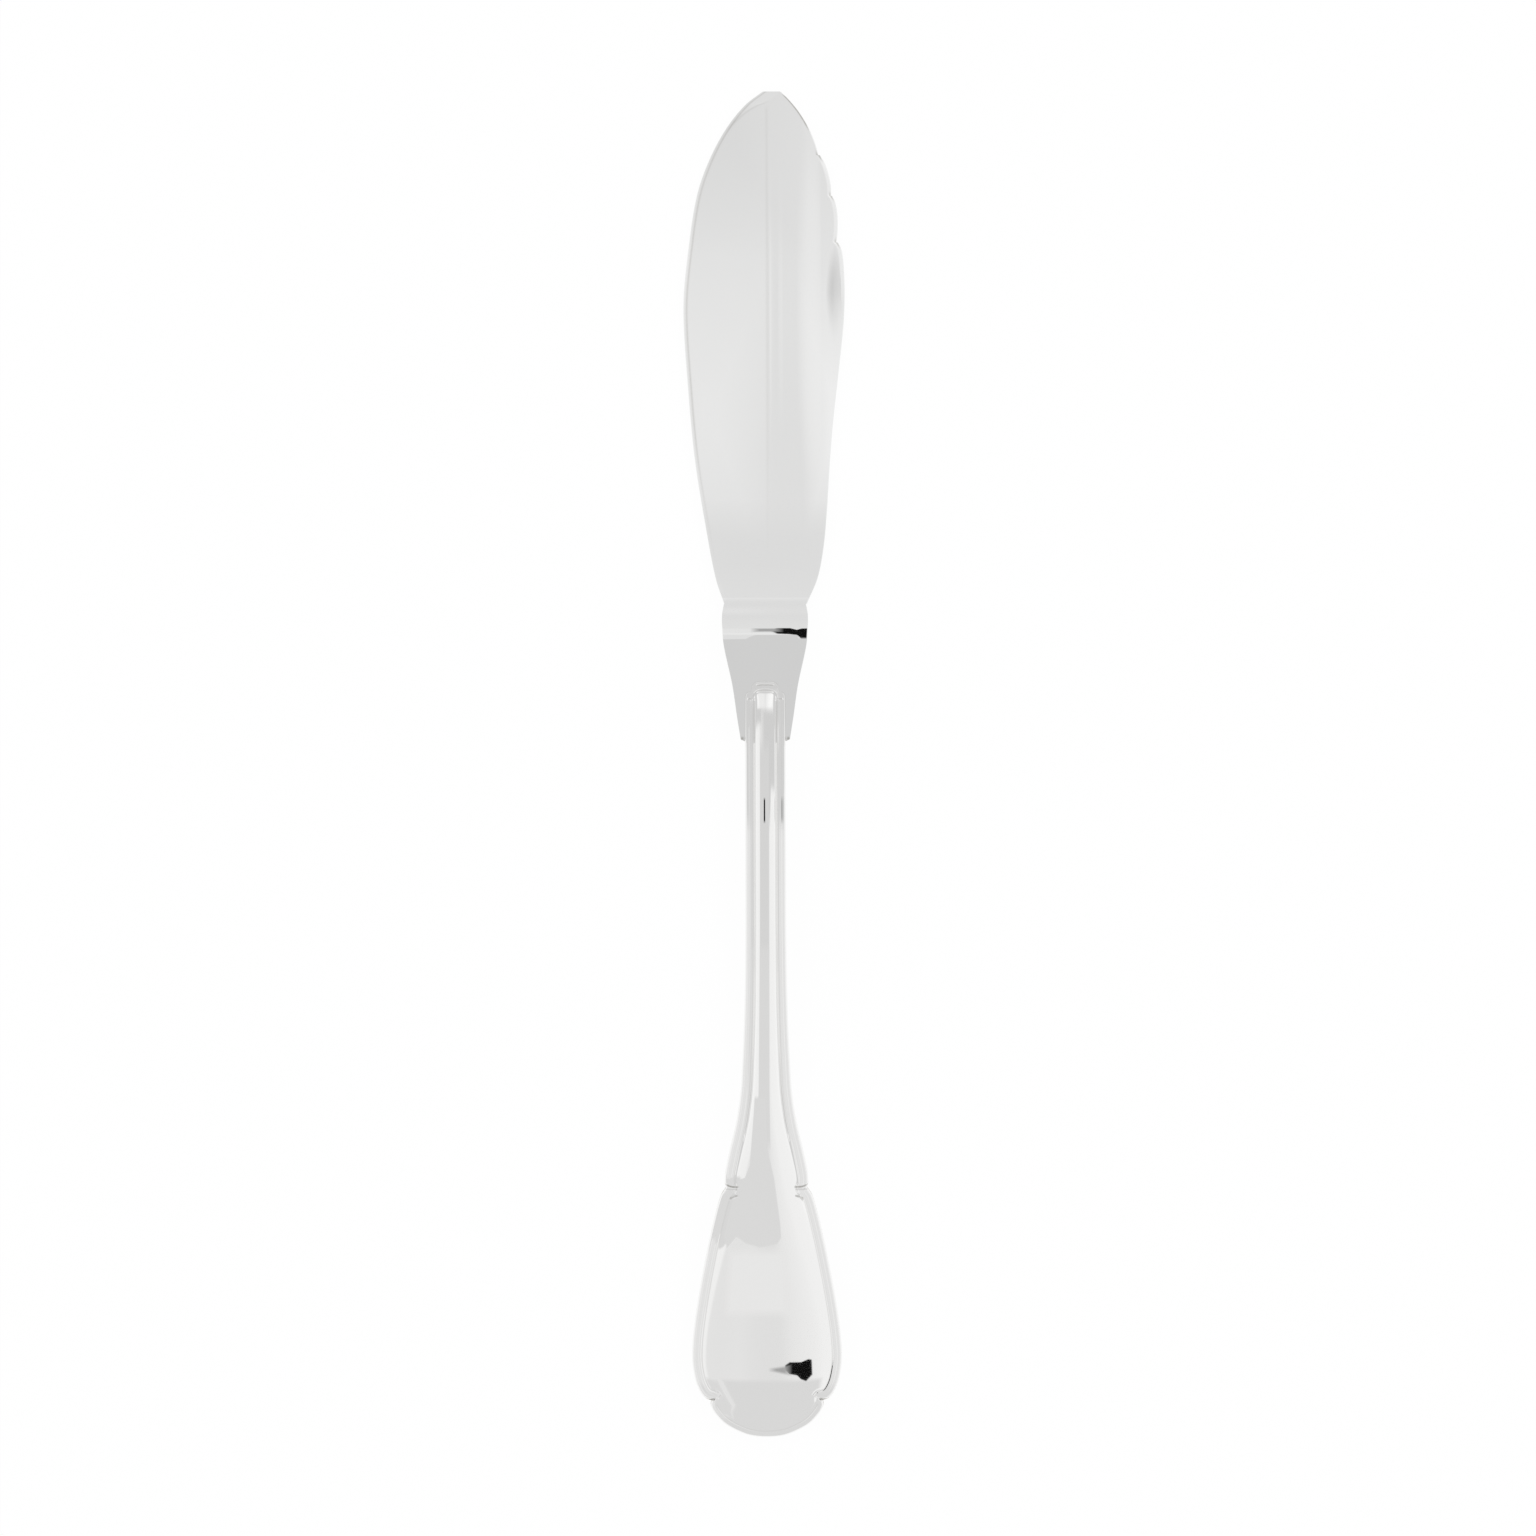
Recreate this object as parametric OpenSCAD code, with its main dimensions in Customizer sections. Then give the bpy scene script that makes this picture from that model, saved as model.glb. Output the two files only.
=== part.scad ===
// Fish knife: a flat blade whose neck runs as a tang into a hollow handle.
// The handle is struck in two halves, soldered round their rims and filled with cement.
// X runs across the knife, Y along it towards the tip, and Z up.
// The knife lies face up: the blade's underside and the handle's broad end touch Z = 0.

/* [Blade] */
// Length of the blade from the heel to the tip
blade_l = 80; // [60:0.5:100]
// Greatest width of the blade
blade_w = 25.2; // [20:0.1:32]
// Thickness of the blade along its crease
blade_t = 1.5; // [1.2:0.1:2.2]
// Thickness of the blade near its edges
edge_t = 0.8; // [0.5:0.05:1.1]
// Length from the heel over which the edges thin out
edge_run_l = 25; // [12:0.5:40]
// Width of the bevel along the cutting edge
bevel_w = 0.6; // [0.3:0.1:1]
// Distance of the crease from the middle of the blade
crease_x = 0.45; // [0.1:0.05:1.5]

/* [Step and neck] */
// Length of the cranked step between the blade and the neck
step_l = 5.2; // [4:0.1:8]
// Width of the band at the step
step_w = 13.4; // [11:0.1:16]
// Height by which the step lifts the underside of the neck
step_rise = 2.6; // [1.8:0.1:3.4]
// Length of neck that shows between the step and the handle
neck_show_l = 6.8; // [4:0.1:12]
// Width of the neck at its rear corners
neck_w = 7.7; // [7.3:0.1:9]
// Thickness of the neck and of the tang
neck_t = 1.5; // [1.2:0.1:1.7]
// Upward tilt of the neck towards the handle, in degrees
neck_tilt = 1.2; // [0:0.1:2]

/* [Tang] */
// Length of the tang behind the corners of the neck
tang_l = 34; // [24:0.5:44]
// Width of the tang
tang_w = 3.4; // [2.6:0.1:3.8]
// Depth of the notches that key the tang in the cement
notch_d = 0.5; // [0.2:0.05:0.8]
// Length of those notches
notch_l = 4; // [2:0.1:8]

/* [Handle] */
// Length of the handle
handle_l = 118; // [104:0.5:136]
// Length of the handle that laps over the neck
mouth_l = 9.2; // [7:0.1:12]
// Length of the moulded front end of the handle
front_l = 3; // [2:0.1:4]
// Width of the stem
stem_w = 6.4; // [5.8:0.1:7.1]
// Thickness of the stem at its rib
stem_t = 5; // [4.6:0.1:6]
// Length of the broad end, from the butt to the shoulder
end_l = 39; // [32:0.5:44]
// Greatest width of the broad end
end_w = 23.4; // [18:0.1:28]
// Thickness of the broad end
end_t = 4.2; // [3.6:0.1:5]
// Width across the shoulder, where the stem has flared out
shoulder_w = 13.4; // [11:0.1:15]
// Length over which the stem flares out to the shoulder
flare_l = 41; // [30:0.5:48]

/* [Thread mouldings] */
// Width of the band of threads along the stem
stem_band = 1.3; // [1.1:0.05:1.6]
// Width of the band of threads round the broad end
end_band = 1.5; // [1.3:0.05:2.4]
// Height of the stem's threads above the seam
stem_bead_h = 1.8; // [1.7:0.05:2.1]
// Height of the broad end's threads above the seam
end_bead_h = 1.35; // [1.2:0.05:1.6]
// Depth of the groove inside the threads
groove_d = 0.3; // [0.15:0.05:0.35]

/* [Shells, solder and cement] */
// Thickness of the struck metal
wall = 0.5; // [0.4:0.05:0.6]
// Thickness of the solder between the two halves
solder_t = 0.1; // [0.06:0.02:0.2]
// Length of the solder in each corner of the mouth
pit_l = 0.3; // [0.2:0.05:0.6]
// Shrinkage gap between the cement and the metal
cement_gap = 0.06; // [0.04:0.01:0.1]

/* [Hidden] */

// Places along the knife, counted from the butt
neck_back_s = handle_l - mouth_l;
step_s = handle_l + neck_show_l;
heel_s = step_s + step_l;
overall_l = heel_s + blade_l;

// Length over which the neck's rear corners run in to the tang
corner_l = 0.9;
tang_front_s = neck_back_s - corner_l;
tang_end_s = tang_front_s - tang_l;
tang_taper_l = 3;
tang_tip_share = 0.6;
slot_s = tang_front_s - pit_l;
// Half of the length in which the rim steps up to the slot
slot_edge = 0.02;

// Height of the seam: straight along the neck and the tang, then bowed down to the broad end
bend_s = tang_end_s - tang_taper_l;
rest_share = 0.32;
rest_s = end_l * rest_share;
neck_z = step_rise + neck_t / 2;

// Centres that the rows of the mouldings run in to, at the butt and at the front end
butt_centre_share = 0.235;
butt_centre = end_l * butt_centre_share;
front_centre_share = 0.52;
front_centre = stem_w * front_centre_share;

// Least height of the hollow over its rim
least_h = 0.08;
// How full the crown is across the stem and across the broad end
stem_fullness = 0.5;
end_fullness = 0.75;
// Overrun of the cut that ends the cement
overrun = 2;

// Outline of the broad end: shares of its half width and of its length.
// The butt runs to the lower notch, and the flank from there to the shoulder.
butt_share = [[-0.22, 0.006], [0, 0], [0.22, 0.006], [0.41, 0.027], [0.565, 0.054], [0.66, 0.082],
    [0.72, 0.106], [0.75, 0.128], [0.742, 0.147]];
flank_share = [[0.745, 0.15], [0.83, 0.16], [0.906, 0.19], [0.966, 0.24], [1, 0.32], [0.974, 0.436],
    [0.889, 0.6], [0.778, 0.77], [0.68, 0.897], [0.615, 0.964], [0.578, 0.984]];
shoulder_notch_share = [0.543, 1];
// Outline of the flare: shares of its widening and of its length
flare_share = [[0.98, 0.022], [0.914, 0.061], [0.73, 0.137], [0.423, 0.251], [0.229, 0.366],
    [0.15, 0.48], [0.086, 0.6], [0.03, 0.77], [0, 1]];
// Outline of the front end: shares of the stem's half width and of the end's length
ear_share = [[1, 0], [0.97, 0.28], [0.84, 0.43], [0.7, 0.42]];
arch_share = [[0.69, 0.47], [0.65, 0.76], [0.47, 0.94], [0, 1], [-0.47, 0.94]];
// Section of the thread band: shares of its width, its height and the groove's depth
thread_share = [[0, 0, 0], [0.05, 0.62, 0], [0.28, 1, 0], [0.52, 1, 0.55], [0.74, 1, 0], [1, 1, 1]];
// Rows between the thread band and the spine, as shares of that distance
field_share = [0.22, 0.52, 0.9];
hollow_share = [0.52, 0.9];

// Outline of the blade: shares of its length from the heel and of its half width.
// The back has three small notches, each the start of a fin-like scallop.
cutting_edge_share = [[0, 0.505], [0.05, 0.61], [0.14, 0.72], [0.28, 0.862], [0.42, 0.945], [0.58, 1],
    [0.7, 0.93], [0.8, 0.825], [0.87, 0.665], [0.93, 0.455], [0.975, 0.22], [1, 0.01]];
back_share = [
    [[0, 0.52], [0.05, 0.655], [0.11, 0.73], [0.18, 0.772], [0.28, 0.812], [0.36, 0.855], [0.45, 0.92],
        [0.54, 0.982], [0.6, 1], [0.66, 0.988], [0.692, 0.96], [0.705, 0.918]],
    [[0.705, 0.9], [0.73, 0.914], [0.76, 0.912], [0.785, 0.883], [0.796, 0.848]],
    [[0.796, 0.836], [0.82, 0.828], [0.855, 0.77], [0.8755, 0.7]],
    [[0.8755, 0.68], [0.9, 0.635], [0.93, 0.555], [0.96, 0.44], [0.985, 0.31], [1, 0.21]]];
back_steps = [44, 7, 6, 11];
// Half of the gap between the two sides of a notch
notch_edge_share = 0.0003;
// Outline of the neck: shares of its length and of its widening from the corners to the step
neck_share = [[0, 0], [0.17, 0.2], [0.4, 0.45], [0.68, 0.9], [0.8, 0.99], [0.92, 1], [1, 0.9]];
// Section of the blade: where the two faces bend, and how thick they are there
back_bend_share = 0.6;
back_thick_share = 0.55;
front_bend_share = 0.55;
front_thick_share = 0.4;
bevel_thick_share = 0.6;
bevel_limit_share = 0.3;
flat_point_share = 0.15;
// Thickness of the crease at the tip, as a share of the edge's thickness
tip_thick_share = 1.1;
tip_start_share = 0.55;

// Numbers of steps along the outlines
butt_steps = 2;
flank_steps = 3;
flare_steps = 2;
stem_steps = 8;
mouth_steps = 3;
front_steps = 2;
neck_steps = 12;
step_steps = 14;

function mix(a, b, share) = a + (b - a) * share;
function ease(share) = let (u = max(0, min(1, share))) u * u * (3 - 2 * u);
function place(s) = s - overall_l / 2;

// A smooth curve through points, from the first one used to the last one used
function curve(points, steps, first = 0, last = 0) = [
    for (i = [first:len(points) - 2 - last])
        let (a = points[max(i - 1, 0)], b = points[i], c = points[i + 1], d = points[min(i + 2, len(points) - 1)])
        for (k = [0:steps - 1])
            let (t = k / steps)
            b + (c - a) * t / 2 + (2 * a - 5 * b + 4 * c - d) * t * t / 2 + (3 * b - a - 3 * c + d) * t * t * t / 2
];

// A smooth value from a table of [place, value] pairs
function slope(table, i) =
    let (a = table[max(i - 1, 0)], b = table[min(i + 1, len(table) - 1)])
    (b[1] - a[1]) / (b[0] - a[0]);
function span_at(table, at) = max([for (i = [0:len(table) - 2]) if (i == 0 || table[i][0] <= at) i]);
function along(table, at) =
    let (
        i = span_at(table, at),
        w = table[i + 1][0] - table[i][0],
        t = max(0, min(1, (at - table[i][0]) / w)),
        rise = table[i + 1][1] - table[i][1],
        m = slope(table, i) * w,
        n = slope(table, i + 1) * w
    )
    table[i][1] + m * t + (3 * rise - 2 * m - n) * t * t + (m + n - 2 * rise) * t * t * t;

// Height of the seam at a place along the knife
function neck_plane(s) = neck_z + tan(neck_tilt) * (step_s - s);
function seam_z(s) =
    s >= bend_s ? neck_plane(s) :
    s <= rest_s ? end_t / 2 :
    let (
        l = bend_s - rest_s,
        t = (s - rest_s) / l,
        rise = neck_plane(bend_s) - end_t / 2,
        n = -tan(neck_tilt) * l
    )
    end_t / 2 + (3 * rise - n) * t * t + (n - 2 * rise) * t * t * t;

// The handle's right-hand outline, from the middle of the butt to the middle of the front end
function end_point(share) = [share[0] * end_w / 2, share[1] * end_l];
function flare_point(share) = [mix(stem_w, shoulder_w, share[0]) / 2, end_l + share[1] * flare_l];
function front_point(share) = [share[0] * stem_w / 2, handle_l - front_l + share[1] * front_l];
stem_start_s = end_l + flare_l;
right_outline = concat(
    curve([for (p = butt_share) end_point(p)], butt_steps, 1),
    curve([for (p = flank_share) end_point(p)], flank_steps),
    [end_point(shoulder_notch_share)],
    curve([for (p = flare_share) flare_point(p)], flare_steps),
    [for (k = [0:stem_steps - 1]) [stem_w / 2, mix(stem_start_s, slot_s - slot_edge, k / stem_steps)]],
    [[stem_w / 2, slot_s - slot_edge]],
    [for (k = [0:mouth_steps - 1]) [stem_w / 2, mix(slot_s + slot_edge, handle_l - front_l, k / mouth_steps)]],
    curve([for (p = ear_share) front_point(p)], front_steps),
    curve([for (p = arch_share) front_point(p)], front_steps, 0, 1),
    [[0, handle_l]]
);
side_count = len(right_outline);
ring_count = 2 * side_count - 2;
outline = concat(right_outline, [for (i = [side_count - 2:-1:1]) [-right_outline[i][0], right_outline[i][1]]]);
slot_index = [for (i = [0:side_count - 1]) if (right_outline[i][1] == slot_s - slot_edge) i][0];

// Where a row that starts at the outline meets the spine
function spine_s(s) =
    let (e = handle_l - s)
    s < 2 * butt_centre ? butt_centre + s * s / (4 * butt_centre) :
    e < 2 * front_centre ? handle_l - front_centre - e * e / (4 * front_centre) :
    s;
function reach(p) = norm([p[0], spine_s(p[1]) - p[1]]);
// The point of a row that lies a distance in from the outline
function inward(p, d) = p + ([0, spine_s(p[1])] - p) * d / reach(p);
function field_d(p, share) = mix(band_w(p[1]), reach(p), share);

// Heights over the seam
function to_stem(s) = ease((s - end_l) / flare_l);
function band_w(s) = mix(end_band, stem_band, to_stem(s));
function bead_h(s) = mix(end_bead_h, stem_bead_h, to_stem(s));
function crown_h(s) = mix(end_t, stem_t, ease((s - rest_s) / (stem_start_s - rest_s))) / 2;
function fullness(s) = mix(end_fullness, stem_fullness, to_stem(s));
function rim_h(s) = s > slot_s ? neck_t / 2 : solder_t / 2;
function groove_h(s) = bead_h(s) - groove_d;
function field_h(p, share) =
    mix(groove_h(p[1]), crown_h(spine_s(p[1])), pow(1 - (1 - share) * (1 - share), fullness(p[1])));
function hollow_h(p, outer_h) = max(rim_h(p[1]) + least_h, outer_h - wall);

// A ring of points, one for each point of the outline, with its height set over the seam
function lifted(p, h) = [p[0], place(p[1]), seam_z(p[1]) + h];
function thread_ring(row, side) = [
    for (p = outline)
        let (r = rim_h(p[1]), h = r + (bead_h(p[1]) - r) * row[1] - groove_d * row[2])
        lifted(inward(p, band_w(p[1]) * row[0]), side * h)
];
function field_ring(share, side) = [
    for (p = outline) lifted(inward(p, field_d(p, share)), side * field_h(p, share))
];
function hollow_rim(gap, side) = [for (p = outline) lifted(inward(p, wall + gap), side * rim_h(p[1]))];
function hollow_side(gap, side) = [
    for (p = outline)
        lifted(inward(p, wall + least_h + gap), side * (hollow_h(p, groove_h(p[1])) - gap))
];
function hollow_band(gap, side) = [
    for (p = outline) lifted(inward(p, band_w(p[1])), side * (hollow_h(p, groove_h(p[1])) - gap))
];
function hollow_roof(share, gap, side) = [
    for (p = outline)
        lifted(inward(p, field_d(p, share)), side * (hollow_h(p, field_h(p, share)) - gap))
];
// The rings of one half of the hollow, from its rim to its roof
function hollow_rings(gap, side) = concat(
    [hollow_rim(gap, side), hollow_side(gap, side), hollow_band(gap, side)],
    [for (share = hollow_share) hollow_roof(share, gap, side)]
);
function backwards(list) = [for (i = [len(list) - 1:-1:0]) list[i]];

// A closed skin over a stack of rings, the lower end first. Each end is closed across the spine.
function ring_faces(count) = [
    for (i = [0:count - 2])
        for (j = [0:ring_count - 1])
            let (
                a = i * ring_count + j,
                b = i * ring_count + (j + 1) % ring_count
            )
            for (face = [[a, a + ring_count, b + ring_count], [a, b + ring_count, b]]) face
];
function cap_faces(start) = concat(
    [[start, start + 1, start + ring_count - 1]],
    [
        for (j = [1:side_count - 3])
            let (
                a = start + j,
                b = start + ring_count - j
            )
            for (face = [[a, a + 1, b - 1], [a, b - 1, b]]) face
    ],
    [[start + side_count - 2, start + side_count - 1, start + side_count]]
);
module skin(rings) {
    top = (len(rings) - 1) * ring_count;
    polyhedron(
        points = [for (ring = rings) each ring],
        faces = concat(ring_faces(len(rings)), cap_faces(0), [for (face = cap_faces(top)) backwards(face)])
    );
}

// A closed body through a row of sections that all have as many points
module loft(sections) {
    n = len(sections[0]);
    last = (len(sections) - 1) * n;
    polyhedron(
        points = [for (section = sections) each section],
        faces = concat(
            [
                for (i = [0:len(sections) - 2])
                    for (k = [0:n - 1])
                        let (
                            a = i * n + k,
                            b = i * n + (k + 1) % n
                        )
                        for (face = [[a, b, b + n], [a, b + n, a + n]]) face
            ],
            [for (k = [2:n - 1]) [1, (k + 1) % n, k]],
            [for (k = [2:n - 1]) [last + 1, last + k, last + (k + 1) % n]]
        )
    );
}

// One half of the handle: +1 is the front, -1 is the back
module shell(side) {
    rings = concat(
        backwards(hollow_rings(0, side)),
        [for (row = thread_share) thread_ring(row, side)],
        [for (share = field_share) field_ring(share, side)]
    );
    skin(side > 0 ? rings : backwards(rings));
}

// The tang's half width at a place along the knife
notch_mid_s = (tang_front_s + tang_end_s) / 2;
tang_table = [
    [tang_end_s, tang_tip_share], [tang_end_s + tang_taper_l, 1], [notch_mid_s - notch_l / 2, 1],
    [notch_mid_s - notch_l / 2 + notch_d, 0], [notch_mid_s + notch_l / 2 - notch_d, 0],
    [notch_mid_s + notch_l / 2, 1], [tang_front_s, 1]];
function tang_half(row) = row[0] == tang_end_s ? row[1] * tang_w / 2 : tang_w / 2 - (1 - row[1]) * notch_d;
function neck_half(s) = mix(neck_w, step_w, along(neck_share, (s - neck_back_s) / (heel_s - neck_back_s))) / 2;

// Section of the flat neck or tang: its upper and lower faces follow the seam's plane
function plate_section(s, half) =
    let (
        lower = neck_plane(s) - neck_t / 2,
        upper = neck_plane(s) + neck_t / 2,
        y = place(s)
    )
    [
        [-half, y, lower], [0, y, lower], [half, y, lower],
        [half, y, upper], [half * back_bend_share, y, upper], [0, y, upper],
        [-half * front_bend_share, y, upper], [-half * (1 - flat_point_share), y, upper], [-half, y, upper]
    ];

// Section of the step and the blade
function on_blade(s) = ease((s - heel_s) / step_l);
function left_half(s) =
    s < heel_s ? neck_half(s) : along(cutting_edge_share, (s - heel_s) / blade_l) * blade_w / 2;
function right_half(s) =
    s < heel_s ? neck_half(s) :
    let (
        at = (s - heel_s) / blade_l,
        part = max([for (i = [0:len(back_share) - 1]) if (i == 0 || back_share[i][0][0] <= at) i])
    )
    along(back_share[part], at) * blade_w / 2;
function full_t(s) = mix(neck_t, blade_t, ease((s - step_s) / step_l));
function crease_t(s) =
    let (at = (s - heel_s) / blade_l)
    mix(full_t(s), edge_t * tip_thick_share, ease((at - tip_start_share) / (1 - tip_start_share)));
function rim_t(s) = mix(full_t(s), edge_t, ease((s - heel_s) / edge_run_l));
function under_z(s) = mix(step_rise, 0, ease((s - step_s) / step_l));
function blade_section(s) =
    let (
        l = left_half(s),
        r = right_half(s),
        x = crease_x * on_blade(s),
        z = under_z(s),
        edge = rim_t(s),
        crease = crease_t(s),
        bevel = mix(flat_point_share * l, min(bevel_w, bevel_limit_share * l), on_blade(s)),
        bevel_h = mix(edge, edge * bevel_thick_share, on_blade(s)),
        y = place(s)
    )
    [
        [-l, y, z], [x, y, z], [r, y, z],
        [r, y, z + edge], [mix(x, r, back_bend_share), y, z + mix(edge, crease, back_thick_share)],
        [x, y, z + crease], [-l * front_bend_share, y, z + mix(edge, crease, front_thick_share)],
        [-l + bevel, y, z + edge], [-l, y, z + bevel_h]
    ];

// Stations along the blade, with one on each side of every notch in its back
blade_stations = [
    for (i = [0:len(back_share) - 1])
        let (
            part = back_share[i],
            from = part[0][0] + (i == 0 ? 0 : notch_edge_share),
            to = part[len(part) - 1][0] - (i == len(back_share) - 1 ? 0 : notch_edge_share)
        )
        for (k = [0:back_steps[i]]) heel_s + mix(from, to, k / back_steps[i]) * blade_l
];

tang_sections = [for (row = tang_table) plate_section(row[0], tang_half(row))];

module blade() {
    color([0.86, 0.87, 0.87])
        loft(concat(
            tang_sections,
            [
                for (k = [0:neck_steps - 1])
                    let (s = mix(neck_back_s, step_s, k / neck_steps))
                    plate_section(s, neck_half(s))
            ],
            [for (k = [0:step_steps - 1]) blade_section(mix(step_s, heel_s, k / step_steps))],
            [for (s = blade_stations) blade_section(s)]
        ));
}

module handle_front_shell() {
    color([0.9, 0.9, 0.89])
        shell(1);
}

module handle_back_shell() {
    color([0.84, 0.84, 0.83])
        shell(-1);
}

// The solder follows both rims from one side of the mouth round the butt to the other
module seam_solder() {
    h = solder_t / 2;
    stations = [for (i = [-slot_index:slot_index]) outline[(i + ring_count) % ring_count]];
    color([0.75, 0.74, 0.7])
        loft([
            for (p = stations)
                [lifted(inward(p, wall), -h), lifted(p, -h), lifted(p, h), lifted(inward(p, wall), h)]
        ]);
}

// The fill in one corner of the mouth, between the slot's end and the neck's slanted corner
function corner_s(x) = tang_front_s + corner_l * (x - tang_w / 2) / (neck_w / 2 - tang_w / 2);
module pit_fill(side) {
    inner = stem_w / 2 - wall;
    outer = stem_w / 2 - solder_t / 2;
    from = slot_s + slot_edge;
    function flat_row(x, s) = [for (h = [-neck_t / 2, neck_t / 2]) [side * x, place(s), neck_plane(s) + h]];
    function section(x) = concat(flat_row(x, from), backwards(flat_row(x, corner_s(x))));
    sections = [section(inner), section(outer)];
    loft(side > 0 ? sections : backwards(sections));
}
module mouth_solder() {
    color([0.7, 0.69, 0.65])
        for (side = [-1, 1]) pit_fill(side);
}

// The cement fills the hollow up to the mouth and is cast round the tang
module handle_filler() {
    color([0.55, 0.5, 0.45])
        difference() {
            skin(concat(backwards(hollow_rings(cement_gap, -1)), hollow_rings(cement_gap, 1)));
            loft(concat(tang_sections, [plate_section(neck_back_s, tang_w / 2)]));
            translate([-end_w / 2, place(slot_s - cement_gap), 0])
                cube([end_w, mouth_l + pit_l + overrun, neck_z + stem_t + overrun]);
        }
}

blade();
handle_front_shell();
handle_back_shell();
seam_solder();
mouth_solder();
handle_filler();
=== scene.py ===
# %% [markdown]
# # A fish knife in polished silver plate
#
# The knife is a flat blade whose neck runs as a tang into a hollow handle. The handle is struck in two
# halves, soldered round their rims and filled with cement. The frame brings all six parts at their real
# size. This lesson gives the metal its polish: the two halves of the handle, the blade and the seam's
# solder get finer surfaces than the frame has, in the same places, and the rest gets its finish.

# %% The frame
import math

import bmesh
import bpy
import numpy as np
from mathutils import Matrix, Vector


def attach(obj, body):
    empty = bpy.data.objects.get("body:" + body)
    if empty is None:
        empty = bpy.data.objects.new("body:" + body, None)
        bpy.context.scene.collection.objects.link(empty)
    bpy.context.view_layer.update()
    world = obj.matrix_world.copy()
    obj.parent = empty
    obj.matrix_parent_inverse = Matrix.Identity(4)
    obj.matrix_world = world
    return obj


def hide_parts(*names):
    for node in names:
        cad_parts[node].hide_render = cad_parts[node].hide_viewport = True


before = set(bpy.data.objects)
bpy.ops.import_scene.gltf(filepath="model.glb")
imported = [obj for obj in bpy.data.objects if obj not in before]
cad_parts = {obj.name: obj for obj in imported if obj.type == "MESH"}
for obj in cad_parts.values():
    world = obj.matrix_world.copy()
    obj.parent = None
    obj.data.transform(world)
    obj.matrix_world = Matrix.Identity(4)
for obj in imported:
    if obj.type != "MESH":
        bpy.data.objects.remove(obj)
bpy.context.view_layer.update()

print("parts in the frame:", sorted(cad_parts))

# %% [markdown]
# ## Camera
#
# The knife was photographed from straight above with a long lens, so its outline shows nearly without
# perspective. The picture is 240 mm high at the table, and the knife lies a little off its middle and
# leans to the left by a fraction of a degree.

# %% The camera
MM = 0.001
PICTURE_H = 240 * MM
CAMERA_H = 1.5
SENSOR_W = 36.0
CENTRE = (0.41 * MM, -0.63 * MM)
LEAN = math.radians(0.164)
CLIP_NEAR, CLIP_FAR = 0.01, 10.0

camera = bpy.data.objects.new("camera", bpy.data.cameras.new("camera"))
bpy.context.scene.collection.objects.link(camera)
camera.data.sensor_width = SENSOR_W
camera.data.lens = SENSOR_W * CAMERA_H / PICTURE_H
camera.data.clip_start = CLIP_NEAR
camera.data.clip_end = CLIP_FAR
camera.location = (*CENTRE, CAMERA_H)
camera.rotation_euler = (0.0, 0.0, -LEAN)
bpy.context.scene.camera = camera
print("lens:", round(camera.data.lens, 1), "mm at", CAMERA_H, "m")

# %% [markdown]
# ## Sizes
#
# The frame's part was drawn from these sizes, in millimetres. A place along the knife is its distance
# from the butt, the rear end of the handle. Every surface below is worked out from them, so it lies
# where the frame's part lies.

# %% Driving sizes
BLADE_L, BLADE_W, BLADE_T = 80.0, 25.2, 1.5
BEVEL_W, CREASE_X = 0.6, 0.45
STEP_L, STEP_W, STEP_RISE = 5.2, 13.4, 2.6
NECK_SHOW_L, NECK_W, NECK_T, NECK_TILT = 6.8, 7.7, 1.5, 1.2
TANG_L, TANG_W, NOTCH_D, NOTCH_L = 34.0, 3.4, 0.5, 4.0
HANDLE_L, MOUTH_L, FRONT_L = 118.0, 9.2, 3.0
STEM_W, STEM_T = 6.4, 5.0
END_L, END_W, END_T = 39.0, 23.4, 4.2
SHOULDER_W, FLARE_L = 13.4, 41.0
WALL, SOLDER_T, PIT_L = 0.5, 0.1, 0.3
# Shares of the broad end's length, and of the stem's width, at which the handle rests and its ends centre.
REST_SHARE, BUTT_SHARE, FRONT_SHARE = 0.32, 0.235, 0.52

NECK_BACK_S = HANDLE_L - MOUTH_L
STEP_S = HANDLE_L + NECK_SHOW_L
HEEL_S = STEP_S + STEP_L
OVERALL_L = HEEL_S + BLADE_L
CORNER_L = 0.9
TANG_FRONT_S = NECK_BACK_S - CORNER_L
TANG_END_S = TANG_FRONT_S - TANG_L
TANG_TAPER_L = 3.0
SLOT_S = TANG_FRONT_S - PIT_L
SLOT_EDGE = 0.02
BEND_S = TANG_END_S - TANG_TAPER_L
REST_S = REST_SHARE * END_L
NECK_Z = STEP_RISE + NECK_T / 2
BUTT_CENTRE = BUTT_SHARE * END_L
FRONT_CENTRE = FRONT_SHARE * STEM_W
STEM_START_S = END_L + FLARE_L
print("whole length:", OVERALL_L, "mm")

# %% [markdown]
# ## Smooth lines
#
# A die sinker draws an outline through a few chosen points with a springy strip. A Catmull-Rom curve does
# that in numbers. A table of a place and a value works the same way with a cubic between its rows.

# %% Helpers for lines and slopes
def mix(a, b, share):
    """The value that lies a share of the way from a to b."""
    return a + (b - a) * share


def ease(share):
    """From 0 to 1 with a soft start and a soft end."""
    u = np.clip(share, 0.0, 1.0)
    return u * u * (3 - 2 * u)


def curve(points, steps, first=0, last=0):
    """A smooth run through the points, without the last one. first and last leave out spans."""
    p = np.array(points, float)
    t = np.arange(steps)[:, None] / steps
    rows = []
    for i in range(first, len(p) - 1 - last):
        a, b, c, d = p[max(i - 1, 0)], p[i], p[i + 1], p[min(i + 2, len(p) - 1)]
        bend, twist = 2 * a - 5 * b + 4 * c - d, 3 * b - a - 3 * c + d
        rows.append(b + (c - a) * t / 2 + bend * t**2 / 2 + twist * t**3 / 2)
    return np.vstack(rows)


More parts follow.
